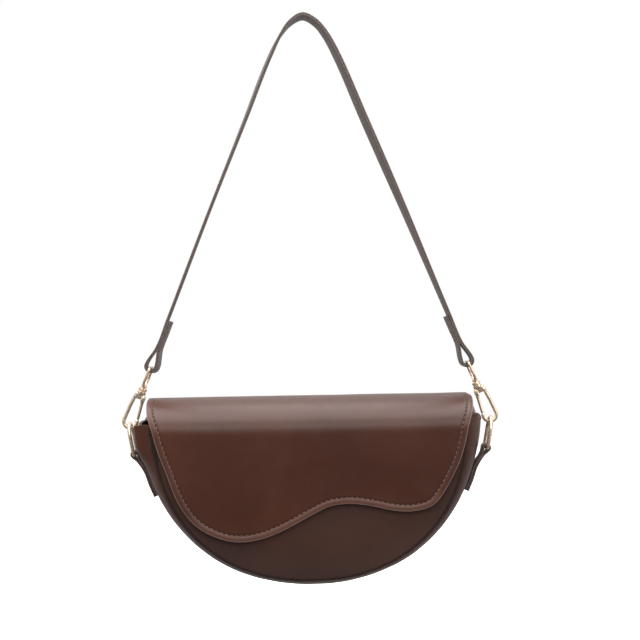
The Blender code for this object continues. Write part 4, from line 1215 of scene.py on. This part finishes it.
def gate_solid():
    """Right gate: a rod whose head sits on its pin."""
    def place(reach):
        across, down = reach * sin(GATE_SLANT), reach * cos(GATE_SLANT)
        return clasp_place(-GATE_SHOULDER - across, GATE_PIVOT + down)

    arm = [place(share * GATE_LENGTH) for share in (0.05, 0.3, 0.6, 0.9)]
    arm += [place(GATE_LENGTH - 1.1 * MM), place(GATE_LENGTH - 0.2 * MM)]
    radii = [radius * MM for radius in (1.35, 1.15, 1.1, 1.1, 1.1, 0.6)]
    return merge(tube(arm, radii, 16), lathe(GATE_HEAD, place(0.0), (0, 1, 0)))


def ring_solid():
    """Right ring: round above, straight below."""
    up = Vector((sin(RING_LEAN), 0.0, cos(RING_LEAN)))
    shoulder = RING_HEIGHT - RING_RADIUS
    half = [(RING_RADIUS * sin(angle), shoulder + RING_RADIUS * cos(angle)) for angle in turns(14)]
    half.append((RING_RADIUS, (shoulder + RING_CORNER) / 2))
    side = RING_RADIUS - RING_CORNER
    half += [(side + RING_CORNER * cos(angle), RING_CORNER * (1 - sin(angle))) for angle in turns(6)]
    half.append((0.0, 0.0))
    loop = [RING_BAR + up * rise + Vector((0.0, y, 0.0)) for y, rise in half]
    loop += [RING_BAR + up * rise - Vector((0.0, y, 0.0)) for y, rise in reversed(half[1:-1])]
    return tube(loop, RING_WIRE, 16, closed=True)


def build_fittings():
    """Eyes, hooks, gates and rings on both sides."""
    parts = (
        ("swivel_eye", "strap", swivel_eye()), ("hook", "clasp_{}", hook_solid()),
        ("gate", "clasp_gate_{}", gate_solid()), ("ring", "side_ring_{}", ring_solid()),
    )
    for part, body, right_solid in parts:
        for suffix, solid in both_sides(right_solid):
            name = f"{part}_{suffix}"
            piece(f"{name}_dressed", body.format(suffix), solid, GOLD, (name,), sharp=40)


def build_snap():
    """Cup on the front and stud on the flap, turned about the snap's axis."""
    low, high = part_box("snap_cup")
    radius = (high.x - low.x) / 2
    face = FRONT_Y - low.y
    profile = [(2.0 * MM, FRONT_Y - high.y), (2.0 * MM, 0.0), (radius - 0.2 * MM, 0.0), (radius, 0.3 * MM)]
    profile += [(radius, face - 0.5 * MM), (radius - 0.5 * MM, face)]
    profile += [(width, face - depth) for width, depth in CUP_FACE]
    cup = lathe(profile, (0, FRONT_Y, SNAP_Z), (0, -1, 0), SNAP_SIDES)
    piece("snap_cup_dressed", "bag", cup, GOLD, ("snap_cup",), sharp=35)
    low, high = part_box("snap_stud")
    profile = [(width, high.y - depth) for width, depth in STUD_FACE] + [(2.0 * MM, low.y)]
    stud = lathe(profile, (0, 0, SNAP_Z), (0, 1, 0), SNAP_SIDES)
    piece("snap_stud_dressed", "flap", stud, GOLD, ("snap_stud",), sharp=35)


def dress_nodes():
    """Materials for the nodes that stay as they are."""
    looks = (
        (BOARD, ("front_board", "back_board")), (LINING, ("front_lining", "back_lining")),
        (GOLD, ("snap_washer_front", "snap_washer_flap", "gate_pin_left", "gate_pin_right")),
        (STEEL, ("gate_spring_left", "gate_spring_right")),
    )
    for material, names in looks:
        for name in names:
            mesh = frame["nodes"][name].data
            mesh.materials.clear()
            mesh.materials.append(material)


# Floor, light and camera


def build_floor():
    """Pale floor that stays white far off and keeps the bag's shadow close by."""
    level = cad_box[0][2] - FLOOR_DROP
    mesh = bpy.data.meshes.new("floor")
    corners = [(x * FLOOR_HALF, y * FLOOR_HALF, level) for x, y in ((-1, -1), (1, -1), (1, 1), (-1, 1))]
    mesh.from_pydata(corners, [], [(0, 1, 2, 3)])
    material, tree, shader, _ = shader_tree("floor_paint", 0.9, specular=0.1)
    shader["Base Color"].default_value = (0.52, 0.52, 0.52, 1.0)
    shader["Emission Color"].default_value = (*WHITE, 1.0)
    rays = node(tree, "LightPath", {}).outputs
    place = node(tree, "NewGeometry", {}).outputs["Position"]
    far = node(tree, "VectorMath", {0: place}, operation="LENGTH").outputs["Value"]
    glow = mapped(tree, far, 0.10, 1.6, 0.65, 1.1)
    seen = worked(tree, "MULTIPLY_ADD", rays["Is Glossy Ray"], 0.35, rays["Is Camera Ray"])
    tree.links.new(worked(tree, "MULTIPLY", glow, seen), shader["Emission Strength"])
    mesh.materials.append(material)
    floor = placed("floor", mesh)
    floor.visible_glossy = False


def add_light(name, place, aim, size, radiance):
    """Soft oblong lamp of this radiance."""
    lamp = bpy.data.lights.new(name, "AREA")
    lamp.shape = "RECTANGLE"
    lamp.size, lamp.size_y = size
    lamp.energy = radiance * pi * size[0] * size[1]
    made = placed(name, lamp)
    made.location = place
    made.rotation_euler = (Vector(aim) - Vector(place)).to_track_quat("-Z", "Y").to_euler()


def build_light():
    """White studio: bright behind and above, dimmer in front, with four soft lamps."""
    world = bpy.data.worlds.new("studio")
    bpy.context.scene.world = world
    world.use_nodes = True
    tree = world.node_tree
    backdrop = tree.nodes["Background"].inputs
    backdrop["Color"].default_value = (*WHITE, 1.0)
    rays = node(tree, "LightPath", {}).outputs
    way = node(tree, "TexCoord", {}).outputs["Generated"]
    split = node(tree, "SeparateXYZ", {"Vector": way}).outputs
    ahead = mapped(tree, split["Y"], 0.08, 1.0, -0.4, 0.7)
    above = mapped(tree, split["Z"], 0.5, 1.0, -0.3, 0.3)
    mirrored = worked(tree, "MULTIPLY", ahead, above)
    soft = mapped(tree, split["Z"], 0.26, 0.64, -0.5, 0.5)
    shiny = worked(tree, "MAXIMUM", rays["Is Glossy Ray"], rays["Is Transmission Ray"])
    lit = node(tree, "Mix", {"Factor": shiny, "A": soft, "B": mirrored}).outputs["Result"]
    shown = node(tree, "Mix", {"Factor": rays["Is Camera Ray"], "A": lit, "B": 1.0}).outputs["Result"]
    tree.links.new(shown, backdrop["Strength"])
    for lamp in LAMPS:
        add_light(*lamp)


def build_camera():
    """Camera level with the space above the flap, square to the front."""
    camera = bpy.data.cameras.new("camera")
    camera.sensor_width = SENSOR
    camera.lens = SENSOR * FOCAL_PIXELS / PICTURE_PIXELS
    camera.clip_start = 0.01
    made = placed("camera", camera)
    turn = Matrix.Rotation(radians(90), 4, "X") @ Matrix.Rotation(CAMERA_ROLL, 4, "Z")
    made.matrix_world = Matrix.Translation(CAMERA_PLACE) @ turn
    bpy.context.scene.camera = made
    bpy.context.scene.view_settings.view_transform = "Standard"


build_flap()
build_front()
build_gusset()
build_front_binding()
build_tabs()
build_strap()
build_fittings()
build_snap()
dress_nodes()
build_floor()
build_light()
build_camera()
